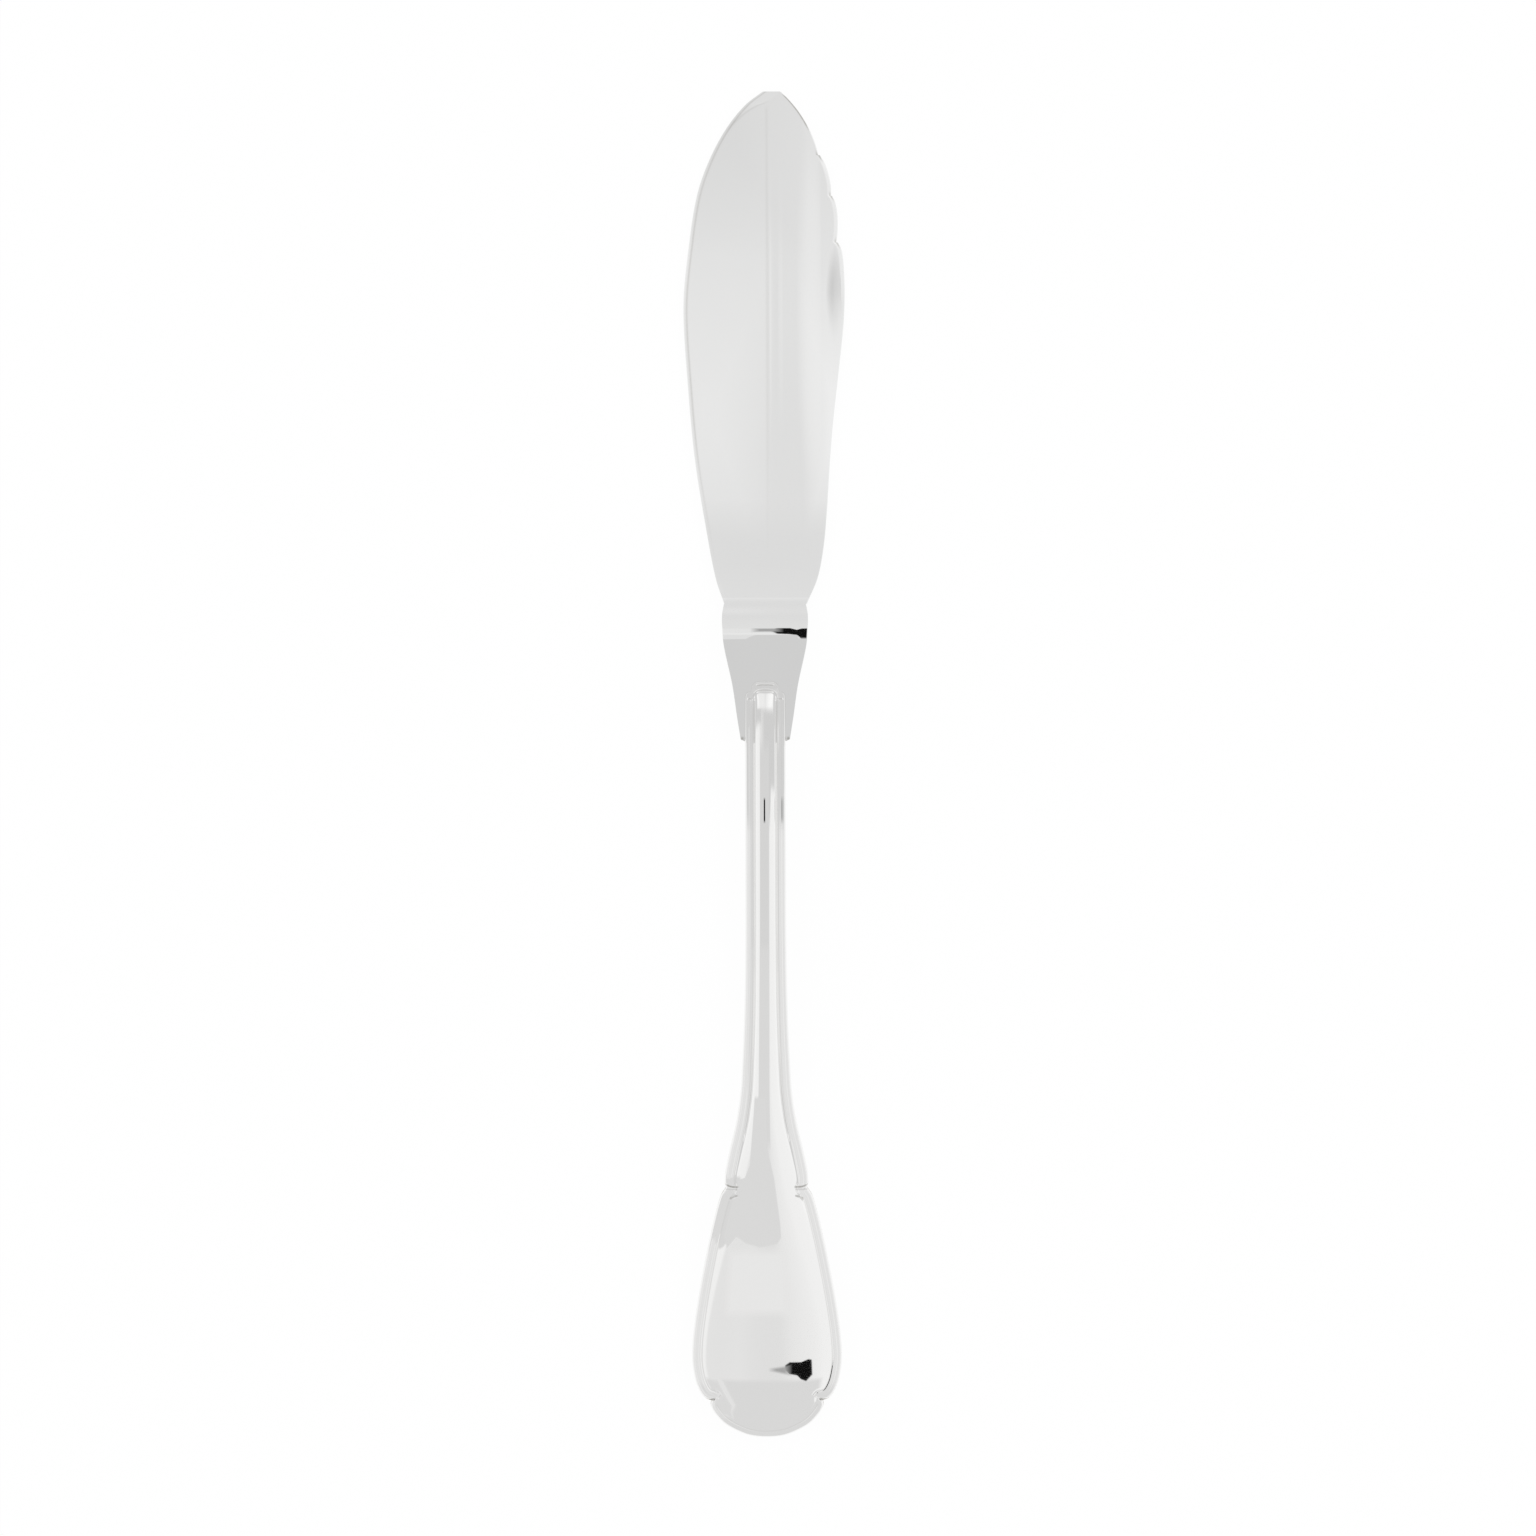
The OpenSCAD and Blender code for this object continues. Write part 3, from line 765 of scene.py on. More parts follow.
# Places along the handle and the half width of the crowned field there.
FIELD_HALF = [[0, 10.2], [12.5, 10.2], [17, 9.9], [23.4, 8.85], [30, 7.5], [35, 6.4], [39, 5.45],
              [42, 4.85], [44.6, 4.3], [49.3, 3.3], [54, 2.65], [58.7, 2.38], [63.6, 2.18], [70.6, 2.0],
              [80, 1.92], [118, 1.92]]
BUTT_SPAN, FRONT_SPAN = (0.9, 13.0), (111.5, 116.85)


def quiet_share(s):
    """1 where the threads and the groove pause, and 0 elsewhere."""
    return sum(ease((s - low) / QUIET_EDGE) * ease((high - s) / QUIET_EDGE) for low, high in QUIET_SPANS)


s_all = pattern[..., 1]
at = outline[:, 1]
crown_rise = ease((s_all - REST_S) / (STEM_START_S - REST_S))
top_h = mix(END_BEAD_H, STEM_BEAD_H, to_stem(at))
in_band = np.append(BAND_ROWS, np.ones(len(FIELD_ROWS)))[:, None] * band
in_field = np.append(np.zeros(len(BAND_ROWS)), FIELD_ROWS)[:, None]
to_butt = np.clip((BUTT_SPAN[1] - s_all) / (BUTT_SPAN[1] - BUTT_SPAN[0]), 0.0, 1.0)
to_front = np.clip((s_all - FRONT_SPAN[0]) / (FRONT_SPAN[1] - FRONT_SPAN[0]), 0.0, 1.0)
pattern_values = {
    "band": band * MM,
    "beads": np.where(band == BUTT_BAND, 1.0, 2.0),
    "top": top_h * MM,
    "field": (top_h - FIELD_DROP) * MM,
    "crown": (mix(END_T, STEM_T, crown_rise) / 2 - CROWN_CLEARANCE) * MM,
    "rim": np.where(at > SLOT_S, NECK_T / 2, SOLDER_T / 2) * MM,
    "fullness": mix(END_FULLNESS, STEM_FULLNESS, to_stem(s_all)),
    "front": ease((s_all - FRONT_START_S) / FRONT_RUN_L),
    "row_d": (in_band + in_field * RIB_X) * MM,
    "half": along(FIELD_HALF, s_all) * MM,
    "ending": to_butt**2,
    "front_share": np.sqrt(1.0 - to_front**3),
    "quiet": quiet_share(s_all),
}
values = {key: np.broadcast_to(value, pattern.shape[:2]) for key, value in pattern_values.items()}

flat = np.dstack([pattern[..., 0], s_all - OVERALL_L / 2, np.zeros(s_all.shape)]) * MM
flat_mesh = mesh_of("flat_pattern", flat.reshape(-1, 3), ring_faces(*pattern.shape[:2]), values)
struck = grow("pattern", flat_mesh, strike, {
    "Outline": outline_lines, "Cuts": cut_lines, "Raised lines": raised_lines,
    "Side width": 0.3 * MM, "Thread depth": 0.016 * MM, "Groove depth": 0.07 * MM,
    "Groove width": 0.1 * MM, "Blend width": 0.4 * MM, "Cut width": 0.13 * MM,
    "Raised drop": 0.02 * MM, "Finish": handle_silver})
for lines in (outline_lines, cut_lines, raised_lines):
    bpy.data.objects.remove(lines)


def read(mesh, name, width, source):
    """A named list of numbers of a mesh, as an array."""
    found = np.zeros(len(mesh.vertices) * width, np.float32)
    source.foreach_get(name, found)
    return found.reshape(-1, width) if width > 1 else found


relief = read(struck, "co", 3, struck.vertices)[:, 2].reshape(pattern.shape[:2])
recess = read(struck, "value", 1, struck.attributes["recess"].data).reshape(pattern.shape[:2])
print("relief from", round(float(relief.min()) / MM, 2), "to", round(float(relief.max()) / MM, 2), "mm")

# %% [markdown]
# ## The two halves
#
# The relief is laid over the bowed seam, upwards for the front half and downwards for the back half. The
# inner wall follows the outer one at the thickness of the sheet, with fewer rows, because nobody sees it.
# The blade's neck passes between the halves, so their rims step apart at the mouth.

# %% The shells
LEAST_H = 0.08
INNER_EVERY = 4
INNER_SPREAD = 4


def inner_heights():
    """Heights of the inner wall: a sheet's thickness under the lowest relief nearby."""
    low = relief.copy()
    for shift in range(-INNER_SPREAD, INNER_SPREAD + 1):
        low = np.minimum(low, np.roll(relief, shift, axis=1))
    rows = len(BAND_ROWS) + np.arange(0, len(FIELD_ROWS), INNER_EVERY)
    rows = np.append(rows[:-1], len(relief) - 1)
    lowest = [low[max(row - INNER_EVERY, 0):row + INNER_EVERY + 1].min(axis=0) for row in rows]
    return rows, np.array(lowest) / MM - WALL


def shell(name, side):
    """One half of the handle as a closed sheet: +1 is the front and -1 the back."""
    rim_h = pattern_values["rim"] / MM
    rows, wall_h = inner_heights()
    wall_h = np.maximum(wall_h, rim_h + LEAST_H)
    at_wall = outline + row_way * WALL
    inner_plan = np.array([at_wall, at_wall + row_way * LEAST_H, *pattern[rows]])
    inner_h = np.array([rim_h, wall_h[0], *wall_h])
    plan = np.concatenate([inner_plan[::-1], pattern])
    over = np.concatenate([inner_h[::-1], relief / MM])
    z = seam_z(plan[..., 1]) + side * over
    points = np.dstack([plan[..., 0], plan[..., 1] - OVERALL_L / 2, z]) * MM
    marks = np.concatenate([np.zeros((len(inner_plan), plan.shape[1])), recess])
    mesh = mesh_of(name, points.reshape(-1, 3), ring_faces(*plan.shape[:2]), {"recess": marks})
    mesh.materials.append(handle_silver)
    return close_up(mesh)


def place_piece(name, mesh, slot, *nodes):
    """A finished piece: it rides with the knife and stands for its parts of the frame, which it hides. slot
    is not used.
    """
    piece = new_object(name, mesh)
    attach(piece, "root")
    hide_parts(*nodes)
    return piece


place_piece("front_shell", shell("front_shell", 1), "handle_silver", "handle_front_shell")
place_piece("back_shell", shell("back_shell", -1), "handle_silver", "handle_back_shell")

# %% [markdown]
# ## Blade
#
# The blade, its step, its neck and the tang are one stamping. Its outline comes from the same
# shares as the frame's: a smooth cutting edge on the left, and a back with three small notches that leave
# fin-like scallops. Stations follow one another along the knife, two of them at each notch.

# %% The blade's outline
CUTTING_EDGE = [[0, 0.505], [0.05, 0.61], [0.14, 0.72], [0.28, 0.862], [0.42, 0.945], [0.58, 1],
                [0.7, 0.93], [0.8, 0.825], [0.87, 0.665], [0.93, 0.455], [0.975, 0.22], [1, 0.01]]
BACK = [
    [[0, 0.52], [0.05, 0.655], [0.11, 0.73], [0.18, 0.772], [0.28, 0.812], [0.36, 0.855], [0.45, 0.92],
     [0.54, 0.982], [0.6, 1], [0.66, 0.988], [0.692, 0.96], [0.705, 0.918]],
    [[0.705, 0.9], [0.73, 0.914], [0.76, 0.912], [0.785, 0.883], [0.796, 0.848]],
    [[0.796, 0.836], [0.82, 0.828], [0.855, 0.77], [0.8755, 0.7]],
    [[0.8755, 0.68], [0.9, 0.635], [0.93, 0.555], [0.96, 0.44], [0.985, 0.31], [1, 0.21]],
]
BACK_STEPS = [170, 26, 22, 42]
NOTCH_EDGE = 0.0003
NECK = [[0, 0], [0.17, 0.2], [0.4, 0.45], [0.68, 0.9], [0.8, 0.99], [0.92, 1], [1, 0.9]]
PIT_ROWS, PIT_ROWS_L = 12, 0.9
NECK_STEPS, STEP_STEPS = 50, 70
TANG_END_SHARE = 0.6


def neck_half(s):
    """Half width of the neck and the step."""
    return mix(NECK_W, STEP_W, along(NECK, (s - NECK_BACK_S) / (HEEL_S - NECK_BACK_S))) / 2


def plate_stations():
    """Places and half widths of the tang, the neck and the step."""
    notch = (TANG_FRONT_S + TANG_END_S) / 2
    half = TANG_W / 2
    tang = [
        (TANG_END_S, TANG_END_SHARE * half), (TANG_END_S + TANG_TAPER_L, half),
        (notch - NOTCH_L / 2, half),
        (notch - NOTCH_L / 2 + NOTCH_D, half - NOTCH_D), (notch + NOTCH_L / 2 - NOTCH_D, half - NOTCH_D),
        (notch + NOTCH_L / 2, half), (TANG_FRONT_S, half)]
    corner_end = NECK_BACK_S + PIT_ROWS_L
    places = np.concatenate([
        np.linspace(NECK_BACK_S, corner_end, PIT_ROWS, endpoint=False),
        np.linspace(corner_end, STEP_S, NECK_STEPS, endpoint=False),
        np.linspace(STEP_S, HEEL_S, STEP_STEPS, endpoint=False)])
    return np.array([(s, h, h) for s, h in tang] + [(s, neck_half(s), neck_half(s)) for s in places])


def blade_stations():
    """Places and the half widths left and right along the blade."""
    rows = []
    for part, steps in zip(BACK, BACK_STEPS):
        first = part[0][0] + (0 if part is BACK[0] else NOTCH_EDGE)
        last = part[-1][0] - (0 if part is BACK[-1] else NOTCH_EDGE)
        share = np.linspace(first, last, steps + 1)
        left, right_side = along(CUTTING_EDGE, share), along(part, share)
        rows.append(np.column_stack([
            HEEL_S + share * BLADE_L, left * BLADE_W / 2, right_side * BLADE_W / 2]))
    return np.vstack(rows)


stations = np.vstack([plate_stations(), blade_stations()])
print("stations along the blade:", len(stations))

# %% [markdown]
# ## Relief of the blade
#
# The upper face is made of nearly flat facets that meet at soft lines, and those lines are what shows in
# the mirror: a crease down the middle that runs out at the tip, a fine ridge beside it, a narrow bevel
# along the cutting edge, an arc that leaves the edge near the tip and bends towards the crease, and a
# narrow border inside the scallops. A table of slopes across the blade gives the facets, and the slopes
# fade out towards the step, where the metal keeps its full thickness.

# %% Facets and thickness
LEFT_SLOPE = 3.2
# Facets to the right of the crease: from, to, and the slope in degrees.
SLOPES = [(0.75, 1.25, 3.2), (1.25, 2.3, 0.9), (2.3, 2.75, 3.4), (2.75, 6.0, 1.8), (6.0, 8.7, 4.4),
          (8.7, 14.0, 2.4)]
BEVEL_SLOPE, BEVEL_SHARE = 8.0, 0.3
BORDER_W, BORDER_SLOPE, BORDER_RISE, BORDER_FALL = 0.55, 3.5, (176, 6), (200.2, 1.5)
# Places along the knife and how far the arc lies inside the cutting edge there.
ARC = [[0, 0.5], [203.5, 0.5], [205, 0.65], [206, 0.9], [207, 1.35], [207.8, 2.0], [208.3, 2.8],
       [210, 2.9]]
ARC_SLOPE, ARC_RISE = 0.8, (174, 8)
SLOPES_START, SLOPES_RUN = 1.0, 48.0
TIP_T, TIP_SLOPES = 1.08, 0.35
THIN_FROM, THIN_RUN = 0.55, 0.45
DISH_X, DISH_S, DISH_W, DISH_L, DISH_D = 11.3, 178.8, 0.9, 4.8, 0.015
LIP_S, HUMP_S, HUMP_H, FALL_END_S, FALL_POWER = 123.4, 124.6, 0.02, 130.9, 1.35


def tan_of(degrees):
    """The rise of a slope over one millimetre."""
    return math.tan(math.radians(degrees))


def between(s, rise, fall=None):
    """1 between a soft start and a soft end along the knife, each a place and the length it takes."""
    on = ease((s - rise[0]) / rise[1])
    return on * ease((fall[0] - s) / fall[1]) if fall else on


def bevel_w(left):
    """Width of the cutting edge's bevel, less where the blade is narrow."""
    return np.minimum(BEVEL_W, BEVEL_SHARE * left)


def under_z(s):
    """Height of the underside of the step and the blade."""
    return mix(STEP_RISE, 0.0, ease((s - STEP_S) / STEP_L))


def crease_t(s):
    """Thickness of the blade along its crease."""
    return mix(BLADE_T, TIP_T, ease(((s - HEEL_S) / BLADE_L - THIN_FROM) / THIN_RUN))


def facet_fall(x):
    """How far the facets have fallen at a distance from the middle, where the slopes are full."""
    fall = np.maximum(CREASE_X - x, 0.0) * tan_of(LEFT_SLOPE)
    for start_x, end_x, degrees in SLOPES:
        fall = fall + (np.clip(x, start_x, end_x) - start_x) * tan_of(degrees)
    return fall


print("the facets fall", round(float(facet_fall(BLADE_W / 2)), 2), "mm from the crease to the widest edge")

# %% [markdown]
# The upper face is one sum: the thickness along the crease, less what the facets, the bevel, the arc, the
# border and a shallow dish on the back take away. The neck and the step come before it, flat and then
# falling.

# %% Height of the upper face
def blade_top(x, s, left, right):
    """Height of the upper face over z = 0, without the rounding of its rim."""
    t = crease_t(s)
    thick = (t - TIP_T) / (BLADE_T - TIP_T)
    grown = ease((s - HEEL_S - SLOPES_START) / SLOPES_RUN) * mix(TIP_SLOPES, 1.0, thick)
    bevel = np.clip(-left + bevel_w(left) - x, 0.0, None) * tan_of(BEVEL_SLOPE)
    arc = np.clip(-left + along(ARC, s) - x, 0.0, None) * tan_of(ARC_SLOPE) * between(s, ARC_RISE)
    border_on = between(s, BORDER_RISE, BORDER_FALL)
    border = np.clip(x - right + BORDER_W, 0.0, None) * tan_of(BORDER_SLOPE) * border_on
    dish = DISH_D * np.exp(-(((x - DISH_X) / DISH_W) ** 2) - ((s - DISH_S) / DISH_L) ** 2)
    fall = facet_fall(x) * grown + (bevel * ease((s - HEEL_S) / STEP_L) + arc + border + dish)
    return t + (plate_top(s) - BLADE_T) - fall


def plate_top(s):
    """Height of the upper face of the neck and the step: flat, a slight hump, and then the fall."""
    neck = neck_plane(np.minimum(s, LIP_S)) + NECK_T / 2
    hump = neck + HUMP_H * np.sin(np.clip((s - LIP_S) / (HUMP_S - LIP_S), 0.0, 1.0) * math.pi / 2)
    fallen = np.clip((s - HUMP_S) / (FALL_END_S - HUMP_S), 0.0, 1.0) ** FALL_POWER
    return mix(hump, BLADE_T, ease(fallen))


WIDEST_S, widest = 176.0, BLADE_W / 2
heights = [float(blade_top(x, WIDEST_S, widest, widest)) for x in (-widest, -6.0, CREASE_X, 6.0, widest)]
print("thickness at the widest place, from edge to edge:", [round(height, 2) for height in heights])

# %% [markdown]
# Painted dark lines stand in for dark reflections on the blade: along the cutting edge, beside the crease and
# round the arc at the tip. Painted shade lies by the notches and in the two corners where the neck goes into
# the handle.

# %% Painted dark lines and shade on the blade
EDGE_LINE, TIP_LINE, NOTCH_LINE = 0.5, 0.13, 0.2
ON_BLADE = (HEEL_S + 2, 30)
# Painted dark lines for the dark reflections along the blade's edge and facet lines. Each line's strength,
# width, soft start and soft end.
PAINTED_DARK_LINES = {
    "edge": (0.4, 0.15, ON_BLADE, None),
    "crease": (0.11, 0.22, ON_BLADE, (208, 1)),
    "arc": (0.2, 0.28, (203, 2.5), (208.6, 0.6)),
    "tip": (1.0, 0.15, (203.5, 1.5), (209.7, 0.5)),
}
# Painted shade by the notches of the back.
NOTCH_SHADE, NOTCH_SHADE_W, NOTCH_SHADE_L, NOTCH_SHADE_BACK = 0.8, 0.14, 0.6, 0.1
NOTCH_PLACES = [HEEL_S + part[-1][0] * BLADE_L - NOTCH_SHADE_BACK for part in BACK[:-1]]
# A painted shade spot in each corner where the neck goes into the handle.
PIT_PLACE, PIT_R = (3.58, 108.98), 0.23


def spot(distance, width):
    """1 at a line or a place and 0 away from it."""
    return np.exp(-((distance / width) ** 2))


def painted_shade(x, s, left, right):
    """Share of painted dark lines and painted shade on the upper face, from 0 to 1."""
    off = {"edge": x + left - EDGE_LINE, "crease": x - CREASE_X, "arc": x + left - along(ARC, s),
           "tip": right - TIP_LINE - x}
    # The painted shade in the corners by the mouth.
    share = spot(np.hypot(abs(x) - PIT_PLACE[0], s - PIT_PLACE[1]), PIT_R)
    for line_name, (strength, width, rise, fall) in PAINTED_DARK_LINES.items():
        share = share + strength * spot(off[line_name], width) * between(s, rise, fall)
    for place in NOTCH_PLACES:
        at_notch = spot(right - NOTCH_LINE - x, NOTCH_SHADE_W) * spot(s - place, NOTCH_SHADE_L)
        share = share + NOTCH_SHADE * at_notch
    return np.clip(share, 0.0, 1.0)


print("tarnish on the cutting edge's line, half way along:",
      round(float(painted_shade(EDGE_LINE - widest, HEEL_S + BLADE_L / 2, widest, widest)), 2))

# %% [markdown]
# Each station gives one closed ring of points: the upper face from left to right, a small round at each of
# the four corners, and the underside. The rings have their points at the same places on the facets, so the
# facets' lines run clean along the blade.

# %% The blade's sections
RIM_R = 0.09
LINE_STEPS_W = (-0.5, -0.25, -0.12, 0.0, 0.12, 0.25, 0.5)
ROUND_STEPS = 4
EVERY_MM, BY_THE_RIM = np.arange(-13.0, 14.0), np.linspace(0.2, 0.7, 6)
LEAST_ARC = 0.05


def across(s, left, right):
    """Places across one station, with some on every line where two facets meet."""
    bevel = -left + bevel_w(left)
    arc = -left + max(float(along(ARC, s)), bevel_w(left) + LEAST_ARC)
    fine = [place + step for place in (-left + EDGE_LINE, arc, CREASE_X) for step in LINE_STEPS_W]
    facets = [start_x for start_x, _, _ in SLOPES]
    lines = np.sort(np.concatenate([fine, [bevel], facets, EVERY_MM, right - BY_THE_RIM]))
    inner = np.clip(lines, -left + 2 * RIM_R, right - 2 * RIM_R)
    return np.concatenate([[-left + RIM_R, -left + 1.5 * RIM_R], inner, [right - 1.5 * RIM_R, right - RIM_R]])


def section(s, left, right):
    """One closed ring: the upper face, the rounded right rim, the underside and the left rim."""
    x = across(s, left, right)
    low = neck_plane(s) - NECK_T / 2 if s < STEP_S else float(under_z(s))
    top = np.full(len(x), float(plate_top(s))) if s < HEEL_S else blade_top(x, s, left, right)
    turn = np.linspace(0, math.pi / 2, ROUND_STEPS)
    cos, sin = RIM_R * np.cos(turn), RIM_R * np.sin(turn)
    right_x, left_x = right - RIM_R, -left + RIM_R
    up_right = np.column_stack([right_x + sin, top[-1] - RIM_R + cos])
    low_right = np.column_stack([right_x + cos, low + RIM_R - sin])
    low_left = np.column_stack([left_x - sin, low + RIM_R - cos])
    up_left = np.column_stack([left_x - cos, top[0] - RIM_R + sin])
    ring = np.vstack([np.column_stack([x, top]), up_right[1:], low_right, low_left, up_left[:-1]])
    # The upper face gets the painted dark lines and painted shade; the rims get none.
    marks = np.append(painted_shade(x, s, left, right), np.zeros(len(ring) - len(x)))
    along_y = np.full(len(ring), s - OVERALL_L / 2)
    return np.column_stack([ring[:, 0] * MM, along_y * MM, ring[:, 1] * MM, marks])


rings = np.array([section(*row) for row in stations])
rings, blade_marks = rings[..., :3], rings[..., 3]
count, around = rings.shape[:2]
ends = [list(range(around))[::-1], [(count - 1) * around + k for k in range(around)]]
faces = ring_faces(count, around).tolist() + ends
blade_mesh = close_up(mesh_of("blade_plate", rings.reshape(-1, 3), faces, {"recess": blade_marks}))
blade_mesh.materials.append(blade_silver)
place_piece("blade_plate", blade_mesh, "blade_silver", "blade")

# %% [markdown]
# ## Solder
#
# A thin line of hard solder runs round the rims from one side of the mouth to the other. It is a narrow
# strip swept along the outline: the tree turns the path into a curve, and a small oblong profile runs
# along it. Its finish is a cast one, with grains, and the frame's own parts get theirs the same way below.

# %% The seam solder
GRAIN_PART = 0.6
solder, solder_in, solder_end = new_tree("sweep_solder", {
    "Width": "Float", "Height": "Float", "Finish": "Material"})
path = add_node(solder, "GeometryNodeMeshToCurve", inputs={0: solder_in.outputs["Geometry"]})
level = add_node(solder, "GeometryNodeSetCurveNormal", {"mode": "Z_UP"}, {0: path.outputs[0]})
profile = add_node(solder, "GeometryNodeCurvePrimitiveQuadrilateral", inputs={
    "Width": solder_in.outputs["Width"], "Height": solder_in.outputs["Height"]})
swept = add_node(solder, "GeometryNodeCurveToMesh", inputs={
    "Curve": level.outputs[0], "Profile Curve": profile.outputs[0], "Fill Caps": True})
finish_tree(solder, swept.outputs[0], solder_in.outputs["Finish"], solder_end)

slot_index = int(np.argmin(np.abs(right[:, 1] - (SLOT_S - SLOT_EDGE))))
run = np.vstack([outline[-slot_index:], outline[:slot_index + 1]])
run_way = np.vstack([row_way[-slot_index:], row_way[:slot_index + 1]])
middle = run + run_way * WALL / 2
line = np.column_stack([middle[:, 0], middle[:, 1] - OVERALL_L / 2, seam_z(run[:, 1])]) * MM
path_mesh = mesh_of("solder_path", line, [], edges=[(i, i + 1) for i in range(len(line) - 1)])


def cast_finish(name, metallic, colours, grain, rough, relief, clouds=None):
    """A cast surface between two colours. grain and clouds are the scale and the detail of their noise,
    rough is the least roughness and what the grains add, and relief is its strength and its depth."""
    material, tree, shader, place = new_material(name, metallic)
    grains = noise(tree, place, *grain)
    share = grains * GRAIN_PART + noise(tree, place, *clouds) * (1.0 - GRAIN_PART) if clouds else grains
    dress(tree, shader, blend(tree, share, *colours), grains * rough[1] + rough[0], grains, *relief)
    return material


hard_solder = cast_finish(
    "polished_solder", 1.0, ((0.82, 0.8, 0.76), (0.74, 0.72, 0.67)), (900.0, 4.0), (0.12, 0.2), (0.2, 1e-5))
solder_mesh = grow("solder_path", path_mesh, solder, {
    "Width": WALL * MM, "Height": SOLDER_T * MM, "Finish": hard_solder})
solder_mesh.name = "seam_line"
place_piece("seam_line", close_up(solder_mesh), "hard_solder", "seam_solder")

# %% [markdown]
# ## Small parts of the frame
#
# The frame's mouth solder and handle cement have their right shapes already, so they stay and get their
# finishes. The solder in the corners of the mouth lies in two small pits, where polish never reaches, so
# it is tarnished grey and rough. The cement is a grey-brown cast mass with grains in it.

# %% Finishes of the frame's parts
FRAME_FINISHES = {
    "mouth_solder": cast_finish(
        "pit_solder", 1.0, ((0.5, 0.48, 0.44), (0.28, 0.265, 0.24)), (5200.0, 3.0), (0.35, 0.3), (0.4, 3e-5)),
    "handle_filler": cast_finish(
        "cast_cement", 0.0, ((0.4, 0.34, 0.28), (0.5, 0.44, 0.37)), (2600.0, 5.0), (0.85, 0.1), (0.5, 5e-5),
        clouds=(220.0, 3.0)),
}
for node_name, material in FRAME_FINISHES.items():
    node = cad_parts[node_name]
    node.data.materials.clear()
    node.data.materials.append(material)
    print(node_name, "gets", material.name)

# %% [markdown]
# ## Table, sky and lamps
#
# The knife lies on a plain white surface under soft, even light, and the camera sees that surface as
# white with a faint shadow. Silver shows its surroundings, so the metal gets surroundings of its own,
# which only glossy rays see, and the matt table gets plain light.

# %% The table
FLOOR_W = 3.0
FLOOR_DROP = 0.02 * MM
FLOOR_TONE, FLOOR_SEEN, FLOOR_SHINE = 0.86, 0.96, 0.97
WHITE = (1.0, 1.0, 1.0, 1.0)


def bare_tree(owner, output):
    """The node tree of a new material or world, with only its output in it."""
    owner.use_nodes = True
    tree = owner.node_tree
    tree.nodes.clear()
    return tree, tree.nodes.new(output).inputs["Surface"]


def white_light(tree, kind, strength):
    """A surface's glow or a world's background, white, with a strength."""
    return add_node(tree, kind, inputs={"Color": WHITE, "Strength": strength}).outputs[0]


def mixed(tree, share, first, second):
    """The first shader where the share is 0, and the second where it is 1."""
    return add_node(tree, "ShaderNodeMixShader", inputs={0: share, 1: first, 2: second}).outputs[0]


def floor_material():
    """A pale matt top that shows as white, and keeps a share of the shadow."""
    material = bpy.data.materials.new("table_white")
    tree, surface = bare_tree(material, "ShaderNodeOutputMaterial")
    rays = add_node(tree, "ShaderNodeLightPath").outputs
    matt = add_node(tree, "ShaderNodeBsdfDiffuse", inputs={"Color": (FLOOR_TONE,) * 3 + (1.0,)}).outputs[0]
    seen = mixed(tree, FLOOR_SEEN, matt, white_light(tree, "ShaderNodeEmission", 1.0))
    shone = mixed(tree, rays["Is Glossy Ray"], matt, white_light(tree, "ShaderNodeEmission", FLOOR_SHINE))
    put(tree, mixed(tree, rays["Is Camera Ray"], shone, seen), surface)
    return material


corner = FLOOR_W / 2
floor_points = [(x, y, -FLOOR_DROP) for x, y in
                ((-corner, -corner), (corner, -corner), (corner, corner), (-corner, corner))]
floor_mesh = mesh_of("table_top", np.array(floor_points), [(0, 1, 2, 3)])
floor_mesh.materials.append(floor_material())
floor = new_object("table_top", floor_mesh)
print("table top:", FLOOR_W, "m wide")

# %% [markdown]
# The room that the metal mirrors is told by its greys. From one side to the other a ramp gives them: almost
# white at both walls, and a little darker overhead. The front of the room is lighter and has a thin post in
# it. Low down the room is darker all round, but for a wide window in front. A grey is how the silver
# should look, so it is turned into light and divided by the share of light that silver gives back.

# %% Greys of the room
SILVER_SHARE = 0.925
# Greys of the room, from 0 to 255, by the sine of the direction's angle to the side.
ACROSS = [(-1, 250), (-0.8, 245), (-0.65, 240), (-0.42, 238), (-0.37, 226), (-0.2, 225), (-0.11, 226),
          (-0.05, 223), (0, 222), (0.05, 222), (0.1, 229), (0.15, 232), (0.22, 235), (0.3, 239), (0.65, 241),
          (0.8, 245), (1, 250)]
# Parts of the room that change its grey. Each has its edges on the left, on the right, at the near side and
# at the far side, as a place and a softness, and then the change.
PANELS = {
    "light_front": ((-0.5, 0.1), (0.5, 0.1), (0.12, 0.04), (0.5, 0.08), 10),
    "front_post": ((-0.012, 0.02), (0.012, 0.02), (0.2, 0.04), (0.5, 0.08), -8),
}
HORIZON, HORIZON_SHADE = (0.4, 0.16), 0.17
WINDOW = (-0.35, 0.12), (0.35, 0.12), (0.4, 0.15)


def ramp(wire, points):
    """A grey read off a ramp of listed places, from -1 to 1, and their greys."""
    node = add_node(wire.tree, "ShaderNodeValToRGB", inputs={"Fac": wire})
    node.color_ramp.interpolation = "LINEAR"
    elements = node.color_ramp.elements
    while len(elements) < len(points):
        elements.new(0.5)
    for element, (at_place, tone) in zip(elements, points):
        element.position = at_place / 2 + 0.5
        element.color = (tone / 255,) * 3 + (1.0,)
    return Wire(wire.tree, node.outputs["Color"])


def edge(wire, place, soft):
    """0 below a place and 1 above it, with a soft edge."""
    return ((wire - (place - soft)) / (2 * soft)).eased()


def light_of(grey):
    """The light that makes silver show a grey, from 0 to 1, by the usual curve of a picture's greys."""
    return ((grey + 0.055) / 1.055) ** 2.4 / SILVER_SHARE


